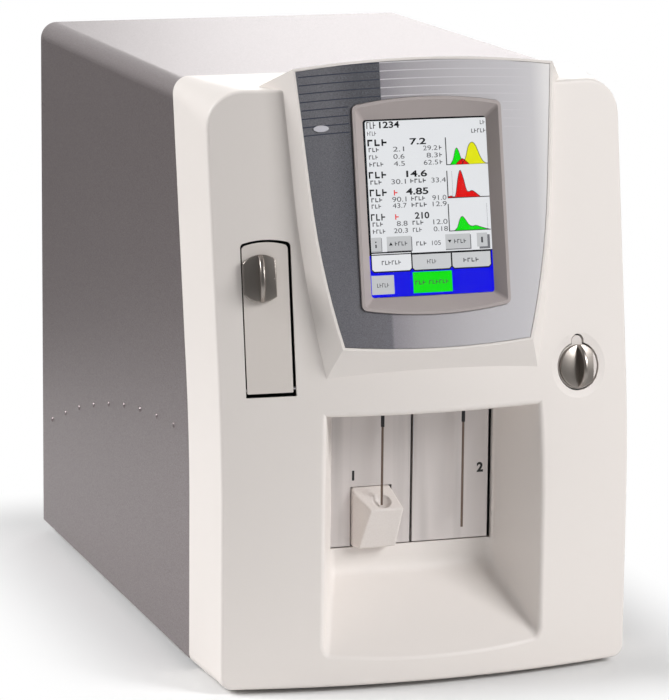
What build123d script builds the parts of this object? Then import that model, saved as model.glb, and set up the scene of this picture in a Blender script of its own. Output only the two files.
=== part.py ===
from build123d import *

import os
from math import asin, cos, radians, sin, sqrt

# Bench-top blood cell counter: a steel box with a crowned, leaning plastic front.
# X runs to the right of the operator, Y to the rear, Z up. The origin is on the bench,
# under the middle of the instrument. All sizes are millimetres.

os.makedirs("parts", exist_ok=True)

# Whole instrument. The drawn shares are one over the size that the sketches are drawn for,
# so that what stands on the cover's width, height and depth grows and shrinks with them.
cover_width = 290.0
cover_height = 384.3
cover_depth = 397.0
drawn_shares = (0.003448276, 0.002602134, 0.002518892)
width_share = cover_width * drawn_shares[0]
height_share = cover_height * drawn_shares[1]
depth_share = cover_depth * drawn_shares[2]
foot_height = 8.0
sheet = 1.2
chassis_sheet = 1.5
seat_gap = 0.3
running_gap = 0.05
overrun = 20.0

# Front moulding
wall = 3.0
edge_depth = 65.0
face_crown = 18.0
face_draw = 1.0
face_half_width = cover_width / 2 - face_draw
rim_overhang = 1.5
rim_half_width = cover_width / 2 + rim_overhang
moulding_drop = 4.5
moulding_over = 3.7
moulding_rise = cover_height + moulding_over
front_fall = 1.0
front_rise = moulding_rise - front_fall
rear_corner = 12.0
front_corner = 25.0
bottom_corner = 8.0
lean_angle = 9.0
lean_start = 104.0 * height_share
lean_radius = 573.0 * height_share
face_edge_round = 2.5

# Rear fittings
spigot_length = 14.0

front_reach = edge_depth + face_crown
joint_y = (front_reach - cover_depth - spigot_length) / 2
face_radius = (face_half_width**2 + face_crown**2) / (2 * face_crown)
lean = radians(lean_angle)


def lengths(shares, size):
    """Lengths from a table of shares of one size."""
    return tuple(share * size for share in shares)


def spread(shares, *sizes):
    """Rows of places and lengths from a table of shares, each column with its own size."""
    return tuple(tuple(share * size for share, size in zip(row, sizes)) for row in shares)


def up(height):
    """Height above the bench of a point that lies height above the cover's lower edge."""
    return foot_height + height


def back(depth):
    """Y of a point that lies depth behind the joint between the moulding and the cover."""
    return joint_y + depth


def face_out(x):
    """How far the crowned face stands in front of the joint surface at x."""
    return front_reach - (face_radius - sqrt(face_radius**2 - x**2))


def tilt_at(height, out):
    """Angle by which the surface that lies out in front of the joint leans back at a height."""
    rise = max(height - lean_start, 0)
    return asin(min(rise / (lean_radius + out), sin(lean)))


def leaning_y(height, out):
    """Y at a height of the surface that lies out in front of the joint surface."""
    rise = max(height - lean_start, 0)
    tilt = tilt_at(height, out)
    return joint_y + lean_radius - (lean_radius + out - sin(tilt) * rise) / cos(tilt)


def face_plane(x, height):
    """Plane that touches the moulding's face at x and a height, its normal pointing outwards."""
    out = face_out(x)
    tilt = tilt_at(height, out)
    side = x / face_radius
    ahead = sqrt(1 - side**2)
    normal = (side, -ahead * cos(tilt), ahead * sin(tilt))
    across = (ahead, side * cos(tilt), -side * sin(tilt))
    return Plane(origin=(x, leaning_y(height, out), up(height)), x_dir=across, z_dir=normal)


# The path along which every leaning section runs: straight, a wide bend, straight again
path_low = up(-moulding_drop - overrun)
path_bend = up(lean_start)
path_top_run = moulding_rise - lean_start - lean_radius * sin(lean) + 2 * overrun
half_bend = (back(lean_radius * (1 - cos(lean / 2))), path_bend + lean_radius * sin(lean / 2))
bend_end = (back(lean_radius * (1 - cos(lean))), path_bend + lean_radius * sin(lean))
path_end = (bend_end[0] + path_top_run * sin(lean), bend_end[1] + path_top_run * cos(lean))

with BuildLine() as lean_path:
    Line((0, joint_y, path_low), (0, joint_y, path_bend))
    ThreePointArc((0, joint_y, path_bend), (0, *half_bend), (0, *bend_end))
    Line((0, *bend_end), (0, *path_end))


def leaning_slab(front, rear, half_width):
    """Flat slab between two distances behind the joint surface, bent along the lean path."""
    with BuildPart() as slab:
        with BuildSketch(Plane.XY.offset(path_low)):
            with Locations((0, back((front + rear) / 2))):
                Rectangle(2 * half_width, rear - front)
        sweep(path=lean_path.wire())
    return slab.part


def outline_sketch(y, half_width, low, high, top_radius, low_radius):
    """Round-cornered elevation of the moulding, drawn on the upright plane at y."""
    with BuildSketch(Plane.XZ.offset(-y)) as outline:
        with Locations((0, (low + high) / 2)):
            Rectangle(2 * half_width, high - low)
        fillet(outline.vertices().group_by(Axis.Y)[-1], top_radius)
        fillet(outline.vertices().group_by(Axis.Y)[0], low_radius)
    return outline.sketch


# The elevation outline narrows towards the face; it is given at two upright planes
outline_rear_y = 55.0
outline_front_y = -95.0
outline_rim_y = 35.0
outline_face_y = -30.0


def along_outline(y, at_rim, at_face):
    """Value at y of a size that changes evenly from the rear rim to the face."""
    return at_rim + (at_face - at_rim) * (y - outline_rim_y) / (outline_face_y - outline_rim_y)


def moulding_form(inset, rear):
    """The leaning block with the crowned face that the moulding fills, drawn in by inset."""
    radius = face_radius - inset
    half = face_half_width + overrun
    middle = back(inset - front_reach)
    edge = middle + radius - sqrt(radius**2 - half**2)
    with BuildPart() as form:
        with BuildSketch(Plane.XY.offset(path_low)):
            with BuildLine():
                ThreePointArc((-half, edge), (0, middle), (half, edge))
                Polyline((half, edge), (half, back(rear)), (-half, back(rear)), (-half, edge))
            make_face()
        sweep(path=lean_path.wire())
        sections = []
        for y in (outline_rear_y, outline_front_y):
            half_width = along_outline(y, rim_half_width, face_half_width) - inset
            high = up(along_outline(y, moulding_rise, front_rise) - inset)
            corner = along_outline(y, rear_corner, front_corner) - inset
            low = up(inset - moulding_drop)
            sections.append(
                outline_sketch(back(y), half_width, low, high, corner, bottom_corner - inset)
            )
        loft(sections=[section.faces()[0] for section in sections], ruled=True, mode=Mode.INTERSECT)
    return form.part


# Screen surround, measured up the plane of the printed fascia
fascia_lean = 11.3
fascia_y = -81.3
fascia_height = 221.0 * height_share
fascia_top_half = 90.0 * width_share
fascia_top_rise = 183.6 * height_share
fascia_crown_rise = 189.0 * height_share
fascia_waist_half = 83.5 * width_share
fascia_waist_rise = 101.0 * height_share
fascia_low_half = 66.0 * width_share
fascia_low_rise = 1.0
fascia_low_crown = -2.5
fascia_corner = 2.5
surround_root = 60.0
surround_flare = 33.0 * width_share
surround_low_flare = 78.0 * width_share
surround_top_fall = 19.0 * height_share
fascia_rim = 1.6
fascia_thickness = 1.6
fascia_sink = 0.3

fascia_plane = Plane(
    origin=(0, back(fascia_y), up(fascia_height)),
    x_dir=(1, 0, 0),
    z_dir=(0, -cos(radians(fascia_lean)), sin(radians(fascia_lean))),
)


def surround_sketch(depth, side, low, high):
    """Shield-shaped outline of the screen surround, at a depth behind the fascia plane."""
    top = (fascia_top_half + side, fascia_top_rise + high)
    waist = (fascia_waist_half + side, fascia_waist_rise)
    foot = (fascia_low_half + side, fascia_low_rise - low)
    slope = (waist[0] - top[0], waist[1] - top[1])
    with BuildSketch(fascia_plane.offset(-depth)) as shield:
        with BuildLine():
            ThreePointArc((-top[0], top[1]), (0, fascia_crown_rise + high), top)
            Line(top, waist)
            TangentArc(waist, foot, tangent=slope)
            ThreePointArc(foot, (0, fascia_low_crown - low), (-foot[0], foot[1]))
            mirror(TangentArc(waist, foot, tangent=slope, mode=Mode.PRIVATE), about=Plane.YZ)
            Line((-waist[0], waist[1]), (-top[0], top[1]))
        make_face()
    return shield.sketch


# Sample recess: a mouth in the lower face whose walls draw in to the start plates
recess_mouth_y = -80.0
plate_front_y = -32.0
recess_mouth_half = 77.0 * width_share
recess_rear_half = 57.2 * width_share
recess_low = 15.0 * height_share
recess_high = 175.0 * height_share
recess_roof_high = 180.0 * height_share
recess_floor_high = 62.0 * height_share
recess_floor_bend = 15.0
recess_side_round = 6.0
mouth_round = 3.5
window_low = 77.0 * height_share
window_lead = 10.0


def recess_form(grow):
    """Solid that fills the sample recess, with every wall moved out by grow."""
    mouth = back(recess_mouth_y)
    rear = back(plate_front_y)
    reach = rear - mouth
    slope = (recess_floor_high - recess_low) / reach
    flare = (recess_mouth_half - recess_rear_half) / reach
    roof = (recess_roof_high - recess_high) / reach
    front = mouth - overrun - wall
    past = rear - front
    floor_grow = grow * sqrt(1 + slope**2)
    side_grow = grow * sqrt(1 + flare**2)
    floor_end = recess_floor_high + slope * grow - floor_grow
    with BuildPart() as form:
        with BuildSketch(Plane.YZ):
            with BuildLine():
                Polyline(
                    (rear + grow, up(recess_roof_high + grow)),
                    (front, up(recess_roof_high - roof * past + grow)),
                    (front, up(recess_floor_high - slope * past - floor_grow)),
                    (rear + grow, up(floor_end)),
                    close=True,
                )
            face = make_face()
            bend = face.vertices().filter_by(
                lambda v: abs(v.Y - up(floor_end)) < wall and v.X > rear - wall
            )
            fillet(bend, recess_floor_bend + grow)
        extrude(amount=recess_mouth_half + overrun, both=True)
        with BuildSketch(Plane.XY.offset(up(0) - overrun)):
            near = recess_rear_half + side_grow - flare * grow
            far = recess_rear_half + side_grow + flare * past
            with BuildLine():
                Polyline(
                    (-near, rear + grow), (near, rear + grow), (far, front), (-far, front),
                    close=True,
                )
            make_face()
        extrude(amount=cover_height, mode=Mode.INTERSECT)
        low_side = form.edges().filter_by(
            lambda e: abs(e.center().X) > recess_rear_half - wall
            and e.center().Z < up(recess_high) - wall
            and e.center().Y > front + wall / 2
        )
        fillet(low_side, recess_side_round + grow)
    return form.part


def on_face(edge):
    """True for an edge that lies on the moulding's crowned face."""
    middle = edge.center()
    if abs(middle.X) > face_half_width:
        return False
    face_y = leaning_y(middle.Z - foot_height, face_out(middle.X))
    return abs(middle.Y - face_y) < seat_gap


def at_outline(edge):
    """True for an edge that runs round the outside of the face."""
    middle = edge.center()
    return abs(middle.X) > recess_mouth_half + overrun or not (
        up(recess_low - wall) < middle.Z < up(front_rise - front_corner)
    )


def at_mouth(edge):
    """True for an edge that runs round the mouth of the sample recess."""
    middle = edge.center()
    return abs(middle.X) < recess_mouth_half + wall and middle.Z < up(recess_high + wall)


# Screws, bosses and the frame behind the moulding
boss_diameter = 9.0
boss_shares = (
    (-0.448276, 0.093677), (0.448276, 0.093677), (-0.451724, 0.39032), (0.451724, 0.312256),
    (-0.434483, 0.915951), (0.434483, 0.915951),
)
boss_places = spread(boss_shares, cover_width, cover_height)
boss_pilot = 3.4
boss_pilot_depth = 14.0
frame_screw = 3.0
frame_screw_head = 6.0
frame_screw_head_height = 2.4

# Tube door at the left of the face, drawn on the plane that touches the face there
door_x = -109.65 * width_share
door_height = 241.0 * height_share
door_half_width = 16.5 * width_share
door_low = -51.0 * height_share
door_shoulder = 48.6 * height_share
door_crown = 51.2 * height_share
door_corner = 3.0
door_foot_corner = 0.6
door_gap = 0.9
door_latch_gap = 2.1
door_top_gap = 1.6
door_foot_gap = 2.6
hinge_rise = 5.2 * height_share
hinge_depth = 2.6
hinge_pin = 2.0
hinge_pin_half = 18.5 * width_share
barrel_diameter = 4.2
barrel_half = 14.0 * width_share

# Grip knobs
knob_diameter = 31.0 * width_share
door_knob_left = 11.8 * width_share
door_knob_right = 9.7 * width_share
knob_rise = 12.0
knob_dome = 4.2
knob_rim = 2.4
knob_round = 0.8
knob_bar = 3.2
knob_bar_round = 1.2
adapter_knob_diameter = 29.0 * width_share
adapter_knob_right = 10.9 * width_share
knob_spindle = 8.0
door_knob_x = -3.7 * width_share
door_knob_rise = 26.3 * height_share

# Adapter port at the right of the face
port_x = 105.0 * width_share
port_height = 199.0 * height_share
port_diameter = 32.4 * width_share
port_dimple = 48.0 * width_share
port_dimple_depth = 1.6
port_notch_width = 9.8 * width_share
port_notch_rise = 5.4 * height_share
adapter_gap = 1.0
adapter_length = 46.0

# Screen bezel, measured up the fascia plane
bezel_half = 51.5 * width_share
bezel_low = 26.0 * height_share
bezel_high = 158.6 * height_share
bezel_low_crown = 21.4 * height_share
bezel_high_crown = 163.2 * height_share
bezel_corner = 4.0
bezel_proud = 1.2
bezel_land = 2.0
bezel_depth = 5.1
screen_half = 42.7 * width_share
screen_low = 33.7 * height_share
screen_high = 149.5 * height_share
screen_corner = 2.0
fascia_back = fascia_sink + fascia_thickness
surround_inner = fascia_back + wall

# Indicator lens in the fascia
lens_x = -72.9 * width_share
lens_rise = 144.6 * height_share
lens_long = 10.4 * width_share
lens_short = 4.2 * height_share
lens_gap = 0.25

# Aspiration needles
needle_shares = (-0.086207, 0.110345)
needle_places = lengths(needle_shares, cover_width)
needle_y = -44.0
needle_hole = 8.0

door_plane = face_plane(door_x, door_height)
port_plane = face_plane(port_x, port_height)


def joint_plane(x, height, out):
    """Plane along the leaning surface that lies out in front of the joint, its normal outwards."""
    tilt = tilt_at(height, out)
    return Plane(
        origin=(x, leaning_y(height, out), up(height)),
        x_dir=(1, 0, 0),
        z_dir=(0, -cos(tilt), sin(tilt)),
    )


def door_sketch(plane, left_gap, right_gap, top_gap, foot_gap):
    """Arched outline of the tube door's opening, drawn in by a gap on each of its sides."""
    left = left_gap - door_half_width
    right = door_half_width - right_gap
    low = door_low + foot_gap
    shoulder = door_shoulder - top_gap
    with BuildSketch(plane) as outline:
        with BuildLine():
            ThreePointArc((left, shoulder), (0, door_crown - top_gap), (right, shoulder))
            Polyline((right, shoulder), (right, low), (left, low), (left, shoulder))
        make_face()
        fillet([v for v in outline.vertices() if v.Y > 0], door_corner)
        fillet([v for v in outline.vertices() if v.Y < low / 2], door_foot_corner)
    return outline.sketch


def arched_sketch(plane, half, low, high, low_crown, high_crown, corner):
    """Four-sided outline whose lower and upper sides are arched, with rounded corners."""
    with BuildSketch(plane) as outline:
        with BuildLine():
            ThreePointArc((-half, high), (0, high_crown), (half, high))
            Line((half, high), (half, low))
            ThreePointArc((half, low), (0, low_crown), (-half, low))
            Line((-half, low), (-half, high))
        make_face()
        fillet(outline.vertices(), corner)
    return outline.sketch


def bezel_sketch(depth, grow):
    """Outline of the screen bezel at a depth behind the fascia plane, moved out by grow."""
    return arched_sketch(
        fascia_plane.offset(-depth),
        bezel_half + grow,
        bezel_low - grow,
        bezel_high + grow,
        bezel_low_crown - grow,
        bezel_high_crown + grow,
        bezel_corner + grow,
    )


def key_outline(inset, mode=Mode.ADD):
    """Draws a round outline with a rounded key at its top, drawn in by inset, in the open sketch."""
    key_half = port_notch_width / 2 - inset
    key_top = port_diameter / 2 + port_notch_rise - inset
    Circle(port_diameter / 2 - inset, mode=mode)
    with Locations((0, key_top - key_half)):
        Circle(key_half, mode=mode)
    with Locations((0, (key_top - key_half) / 2)):
        Rectangle(2 * key_half, key_top - key_half, mode=mode)


def keyhole(plane, inset, depth):
    """Round prism with a rounded key at its top, running inwards from a plane."""
    with BuildPart() as prism:
        with BuildSketch(plane):
            key_outline(inset)
        extrude(amount=-depth)
    return prism.part


def cap_radius(half, rise):
    """Radius of the arc that spans twice half and rises by rise in its middle."""
    return (half**2 + rise**2) / (2 * rise)


def grip_knob(plane, diameter, left, right):
    """Low domed disc, cut flat at the sides, with a half-moon finger bar across its middle."""
    radius = diameter / 2
    dome_radius = cap_radius(radius, knob_dome - knob_rim)
    bar_radius = cap_radius(radius, knob_rise - knob_rim)
    with BuildPart() as bar:
        with BuildSketch(Plane(plane.origin, x_dir=plane.y_dir, z_dir=plane.x_dir)):
            with BuildLine():
                ThreePointArc((-radius, knob_rim), (0, knob_rise), (radius, knob_rim))
                Polyline((radius, knob_rim), (radius, 0), (-radius, 0), (-radius, knob_rim))
            make_face()
        extrude(amount=knob_bar / 2, both=True)
        crown = bar.edges().filter_by(GeomType.CIRCLE)
        fillet([edge for edge in crown if abs(edge.radius - bar_radius) < seat_gap], knob_bar_round)
        with BuildSketch(plane):
            Circle(radius)
        extrude(amount=knob_rise, mode=Mode.INTERSECT)
    with BuildPart() as grip:
        with BuildSketch(plane):
            Circle(radius)
            with Locations(((right - left) / 2, 0)):
                Rectangle(left + right, diameter, mode=Mode.INTERSECT)
        extrude(amount=knob_dome)
        with Locations(plane.offset(knob_dome - dome_radius)):
            Sphere(dome_radius, mode=Mode.INTERSECT)
        rim = grip.faces().filter_by(GeomType.SPHERE)[0]
        fillet(rim.edges(), knob_round)
        add(bar.part)
    return grip.part


with BuildPart() as moulding_block:
    add(moulding_form(0, 0))
    fillet(moulding_block.edges().filter_by(on_face).filter_by(at_outline), face_edge_round)

with BuildPart() as screen_surround:
    loft(
        sections=[
            surround_sketch(0, 0, 0, 0).faces()[0],
            surround_sketch(
                surround_root, surround_flare, surround_low_flare, -surround_top_fall
            ).faces()[0],
        ],
        ruled=True,
    )
    add(recess_form(0), mode=Mode.SUBTRACT)

with BuildPart() as moulding_core:
    add(moulding_form(wall, overrun))
    loft(
        sections=[
            surround_sketch(surround_inner, -wall, -wall, -wall).faces()[0],
            surround_sketch(
                surround_root, surround_flare - wall, surround_low_flare - wall, -surround_top_fall - wall
            ).faces()[0],
        ],
        ruled=True,
    )
    add(recess_form(wall), mode=Mode.SUBTRACT)

with BuildPart() as hinge_groove:
    with BuildSketch(Plane(door_plane.origin, x_dir=door_plane.y_dir, z_dir=door_plane.x_dir)):
        with Locations((door_low + hinge_rise, -hinge_depth)):
            Circle(hinge_pin / 2 + running_gap)
    extrude(amount=hinge_pin_half + seat_gap, both=True)

dimple_radius = ((port_dimple / 2) ** 2 + port_dimple_depth**2) / (2 * port_dimple_depth)

with BuildPart() as front_moulding:
    add(moulding_block.part)
    add(recess_form(0), mode=Mode.SUBTRACT)
    fillet(front_moulding.edges().filter_by(on_face).filter_by(at_mouth), mouth_round)
    with Locations(port_plane.offset(dimple_radius - port_dimple_depth)):
        Sphere(dimple_radius, mode=Mode.SUBTRACT)
    add(screen_surround.part)
    add(moulding_core.part, mode=Mode.SUBTRACT)
    with BuildSketch(Plane.XZ.offset(-back(plate_front_y - window_lead))):
        with Locations((0, up((window_low + recess_roof_high) / 2))):
            Rectangle(2 * recess_rear_half, recess_roof_high - window_low)
    extrude(amount=-(window_lead + wall + seat_gap), mode=Mode.SUBTRACT)
    fascia_seat = surround_sketch(0, -fascia_rim, -fascia_rim, -fascia_rim)
    extrude(fascia_seat, amount=-fascia_back - running_gap, mode=Mode.SUBTRACT)
    extrude(bezel_sketch(0, seat_gap), amount=-(surround_inner + wall), mode=Mode.SUBTRACT)
    with BuildSketch(fascia_plane):
        with Locations((lens_x, lens_rise)):
            Ellipse(lens_long / 2 + lens_gap, lens_short / 2 + lens_gap)
    extrude(amount=-(surround_inner + wall), mode=Mode.SUBTRACT)
    for boss_x, boss_height in boss_places:
        boss_length = face_out(boss_x) - wall / 2
        with BuildSketch(joint_plane(boss_x, boss_height, 0)):
            Circle(boss_diameter / 2)
        extrude(amount=boss_length)
        with BuildSketch(joint_plane(boss_x, boss_height, 0)):
            Circle(boss_pilot / 2)
        extrude(amount=boss_pilot_depth, mode=Mode.SUBTRACT)
    extrude(door_sketch(door_plane.offset(wall), 0, 0, 0, 0), amount=-3 * wall, mode=Mode.SUBTRACT)
    add(hinge_groove.part, mode=Mode.SUBTRACT)
    add(keyhole(port_plane.offset(wall), 0, 3 * wall), mode=Mode.SUBTRACT)
    for needle_x in needle_places:
        with BuildSketch(Plane.XY.offset(up(recess_high))):
            with Locations((needle_x, back(needle_y))):
                Circle(needle_hole / 2)
        extrude(amount=recess_roof_high - recess_high + 2 * wall, mode=Mode.SUBTRACT)

# Steel box: chassis tray, wrapped cover, rear panel
flange_width = 12.0
chassis_half = cover_width / 2 - sheet - 2 * seat_gap
chassis_floor = sheet + seat_gap
chassis_flange = 25.0
frame_sheet = 1.5
rear_sheet = 1.5
tray_front = frame_sheet + 2 * seat_gap
tray_rear = cover_depth - rear_sheet - seat_gap
cover_round = 12.2
cover_screw = 4.0
cover_screw_clear = 4.4
cover_screw_head = 8.0
cover_screw_head_height = 2.2
cover_screw_inset = 7.5
cover_screw_x = cover_width / 2 - cover_screw_inset
cover_screw_shares = (0.060453, 0.352645, 0.644836, 0.937028)
cover_screw_y = lengths(cover_screw_shares, cover_depth)
foot_diameter = 22.0
foot_sole = 18.0
foot_inset = 33.0
foot_x = cover_width / 2 - foot_inset
foot_shares = (0.070529, 0.921914)
foot_y = lengths(foot_shares, cover_depth)
vent_slot_length = 34.0 * width_share
vent_slot_width = 4.0
vent_pitch_x = 46.0 * width_share
vent_pitch_y = 12.0 * depth_share
dimple_shares = (
    (0.097229, 0.395004), (0.202519, 0.387718), (0.308312, 0.376529), (0.41335, 0.361436),
    (0.517128, 0.3414), (0.621159, 0.31668), (0.724685, 0.289357), (0.825693, 0.25631),
    (0.926448, 0.221442),
)
dimple_places = spread(dimple_shares, cover_depth, cover_height)
dimple_height = 1.0
dimple_width = 5.0
dimple_round = 0.8

with BuildPart() as base_chassis:
    with BuildSketch(Plane.XY.offset(up(chassis_floor))):
        with Locations((0, back((tray_front + tray_rear) / 2))):
            Rectangle(2 * chassis_half, tray_rear - tray_front)
    extrude(amount=chassis_flange)
    with BuildSketch(Plane.XY.offset(up(chassis_floor + chassis_sheet))):
        with Locations((0, back((tray_front + tray_rear) / 2))):
            Rectangle(2 * (chassis_half - chassis_sheet), tray_rear - tray_front - 2 * chassis_sheet)
    extrude(amount=chassis_flange, mode=Mode.SUBTRACT)
    with BuildSketch(Plane.XY.offset(up(0))):
        with Locations((0, back(cover_depth / 4))):
            with GridLocations(vent_pitch_x, vent_pitch_y, 4, 4):
                SlotOverall(vent_slot_length, vent_slot_width)
        for screw_y in cover_screw_y:
            with Locations((-cover_screw_x, back(screw_y)), (cover_screw_x, back(screw_y))):
                Circle(cover_screw_clear / 2)
    extrude(amount=chassis_floor + 2 * chassis_sheet, mode=Mode.SUBTRACT)


def cover_sketch(inset, low):
    """Section of the steel box across the instrument, drawn in by inset."""
    with BuildSketch(Plane.XZ.offset(-back(0))) as section_sketch:
        with Locations((0, up((low + cover_height - inset) / 2))):
            Rectangle(cover_width - 2 * inset, cover_height - inset - low)
        fillet(section_sketch.vertices().group_by(Axis.Y)[-1], cover_round - inset)
    return section_sketch.sketch


with BuildPart() as metal_cover:
    extrude(cover_sketch(0, 0), amount=-cover_depth)
    extrude(cover_sketch(sheet, sheet), amount=-cover_depth, mode=Mode.SUBTRACT)
    with BuildSketch(Plane.XY.offset(up(0))):
        with Locations((0, back(cover_depth / 2))):
            Rectangle(cover_width - 2 * flange_width, cover_depth)
        for screw_y in cover_screw_y:
            with Locations((-cover_screw_x, back(screw_y)), (cover_screw_x, back(screw_y))):
                Circle(cover_screw_clear / 2)
    extrude(amount=sheet, mode=Mode.SUBTRACT)
    add(leaning_slab(-3 * overrun, seat_gap, cover_width), mode=Mode.SUBTRACT)
    for side in (-1, 1):
        for depth, height in dimple_places:
            spot = (side * (cover_width / 2 - sheet / 2), back(depth), up(height))
            with Locations(Plane(origin=spot, z_dir=(side, 0, 0))):
                Cone(
                    dimple_width / 2, dimple_width / 4, dimple_height + sheet / 2,
                    align=(Align.CENTER, Align.CENTER, Align.MIN),
                )
    rings = metal_cover.edges().filter_by(GeomType.CIRCLE)
    proud = (cover_width + dimple_height) / 2
    fillet([ring for ring in rings if abs(ring.center().X) > proud], dimple_round)

with BuildPart() as cover_screws:
    for screw_y in cover_screw_y:
        with Locations((-cover_screw_x, back(screw_y)), (cover_screw_x, back(screw_y))):
            with Locations((0, 0, up(0))):
                Cylinder(
                    cover_screw_head / 2, cover_screw_head_height,
                    align=(Align.CENTER, Align.CENTER, Align.MAX),
                )
                Cylinder(
                    cover_screw / 2, chassis_floor + 2 * chassis_sheet,
                    align=(Align.CENTER, Align.CENTER, Align.MIN),
                )

with BuildPart() as feet:
    for y in foot_y:
        with Locations((-foot_x, back(y), up(chassis_floor)), (foot_x, back(y), up(chassis_floor))):
            Cone(
                foot_sole / 2, foot_diameter / 2, foot_height + chassis_floor,
                align=(Align.CENTER, Align.CENTER, Align.MAX),
            )

# Leaning sheet frame that the moulding and the front gear are screwed to
frame_inset = 2.1
frame_half = cover_width / 2 - frame_inset
frame_low = chassis_floor + chassis_sheet + seat_gap
frame_fall = 6.3
frame_high = cover_height - frame_fall
frame_corner = 9.0
frame_screw_hole = 3.5
sampler_window_half = 56.0 * width_share
sampler_window_low = 62.0 * height_share
sampler_window_high = 178.0 * height_share
display_window_half = 58.0 * width_share
display_window_low = 236.0 * height_share
display_window_high = 366.0 * height_share
pocket_window_margin = 3.0
pocket_depth = 36.0
pocket_wall = 2.0
pocket_half = 19.4 * width_share
pocket_low = -54.5 * height_share
pocket_high = 56.0 * height_share
sleeve_wall = 2.2
sleeve_length = 50.0

with BuildPart() as front_frame:
    add(leaning_slab(seat_gap, seat_gap + frame_sheet, frame_half))
    frame_outline = outline_sketch(
        back(-overrun), frame_half, up(frame_low), up(frame_high), frame_corner, chassis_sheet
    )
    extrude(frame_outline, amount=-4 * overrun, mode=Mode.INTERSECT)
    with BuildSketch(Plane.XZ.offset(-back(-overrun))):
        with Locations((0, up((sampler_window_low + sampler_window_high) / 2))):
            Rectangle(2 * sampler_window_half, sampler_window_high - sampler_window_low)
        with Locations((0, up((display_window_low + display_window_high) / 2))):
            Rectangle(2 * display_window_half, display_window_high - display_window_low)
    extrude(amount=-4 * overrun, mode=Mode.SUBTRACT)
    for boss_x, boss_height in boss_places:
        with BuildSketch(joint_plane(boss_x, boss_height, 0).offset(boss_pilot_depth)):
            Circle(frame_screw_hole / 2)
        extrude(amount=-2 * boss_pilot_depth, mode=Mode.SUBTRACT)

with BuildPart() as front_screws:
    for boss_x, boss_height in boss_places:
        seat = joint_plane(boss_x, boss_height, 0).offset(-seat_gap - frame_sheet - running_gap)
        with BuildSketch(seat):
            Circle(frame_screw_head / 2)
        extrude(amount=-frame_screw_head_height)
        with BuildSketch(seat):
            Circle(frame_screw / 2)
        extrude(amount=boss_pilot_depth)

# Rear panel and what it carries
panel_low = chassis_floor + chassis_sheet + seat_gap
fan_x = -62.0 * width_share
fan_fall = 94.3 * height_share
fan_height = cover_height - fan_fall
fan_size = 80.0 * width_share
fan_depth = 25.0
fan_bore = 37.5 * width_share
fan_screw_pitch = 71.5 * width_share
fan_screw_hole = 4.4
fan_screw = 4.0
fan_hub = 16.0 * width_share
fan_cup = 17.5 * width_share
fan_blades = 7
fan_blade_tip = 34.5 * width_share
fan_blade_thickness = 1.6
fan_blade_pitch = 38.0
fan_shaft = 3.0
fan_strut = 5.0
fan_strut_depth = 3.0
guard_wire = 1.6
guard_ring_shares = (0.125, 0.23125, 0.3375, 0.44375)
guard_rings = lengths(guard_ring_shares, fan_size)
guard_foot = 8.0 * width_share
inlet_x = 104.0 * width_share
inlet_height = 62.0 * height_share
inlet_width = 27.0 * width_share
inlet_tall = 47.0 * height_share
inlet_flange_width = 50.0 * width_share
inlet_flange_tall = 56.0 * height_share
inlet_flange = 2.2
inlet_body_depth = 32.0
inlet_socket_width = 24.4 * width_share
inlet_socket_tall = 16.4 * height_share
inlet_socket_depth = 16.0
inlet_socket_drop = 10.5 * height_share
inlet_pin_width = 2.0
inlet_pin_tall = 4.0 * height_share
inlet_pin_length = 14.0
inlet_pin_pitch = 7.0 * width_share
inlet_earth_drop = 4.0 * height_share
drawer_width = 20.0 * width_share
drawer_tall = 11.0 * height_share
drawer_depth = 26.0
drawer_rise = 12.5 * height_share
drawer_face = 1.6
drawer_lip = 1.0
switch_x = 58.0 * width_share
switch_width = 13.0 * width_share
switch_tall = 19.2 * height_share
switch_flange = 1.6
switch_flange_over = 1.6
switch_body_depth = 16.0
rocker_width = 9.6 * width_share
rocker_tall = 14.8 * height_share
rocker_clearance = 1.0
rocker_pin = 2.0
rocker_pin_half = 6.0 * width_share
rocker_rise = 3.2
rocker_tilt = 9.0
rocker_pivot = 5.0
spigot_shares = (-0.406897, -0.331034, -0.255172, -0.17931)
spigot_places = lengths(spigot_shares, cover_width)
spigot_height = 58.0 * height_share
spigot_diameter = 6.0
spigot_bore = 3.2
spigot_hex = 12.0
spigot_hex_length = 4.0
spigot_thread = 8.0
spigot_thread_hole = 8.3
spigot_tail = 14.0
board_sheet = 1.6
board_offset = 12.0
board_x = 68.0 * width_share
board_height = 190.0 * height_share
board_width = 132.0 * width_share
board_tall = 140.0 * height_share
standoff_diameter = 6.0
port_shares = (
    (-0.30303, 0.321429, 0.234848, 0.09), (-0.30303, 0.142857, 0.234848, 0.09),
    (0.151515, 0.321429, 0.1, 0.047143), (0.340909, 0.321429, 0.1, 0.047143),
    (0.151515, 0.142857, 0.124242, 0.097143),
)
port_sizes = spread(port_shares, board_width, board_tall, board_width, board_tall)
port_wall = 1.0
port_gap = 0.4
port_proud = 1.4
chip_shares = (
    (-0.227273, -0.107143, 0.227273, 0.214286, 2.125),
    (0.113636, -0.142857, 0.151515, 0.142857, 1.625),
    (0.340909, -0.214286, 0.090909, 0.242857, 2.625), (-0.265152, -0.342857, 0.348485, 0.1, 4.375),
    (0.151515, -0.371429, 0.257576, 0.064286, 5.625),
    (0.30303, 0.071429, 0.121212, 0.114286, 1.375),
)
chip_places = spread(chip_shares, board_width, board_tall, board_width, board_tall, board_sheet)

panel_in = cover_depth - rear_sheet
panel_plane = Plane(origin=(0, back(panel_in), up(0)), x_dir=(-1, 0, 0), z_dir=(0, 1, 0))


def on_panel(x, height):
    """Place on the panel's inner face, drawn as seen from behind."""
    return (-x, height)


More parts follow.
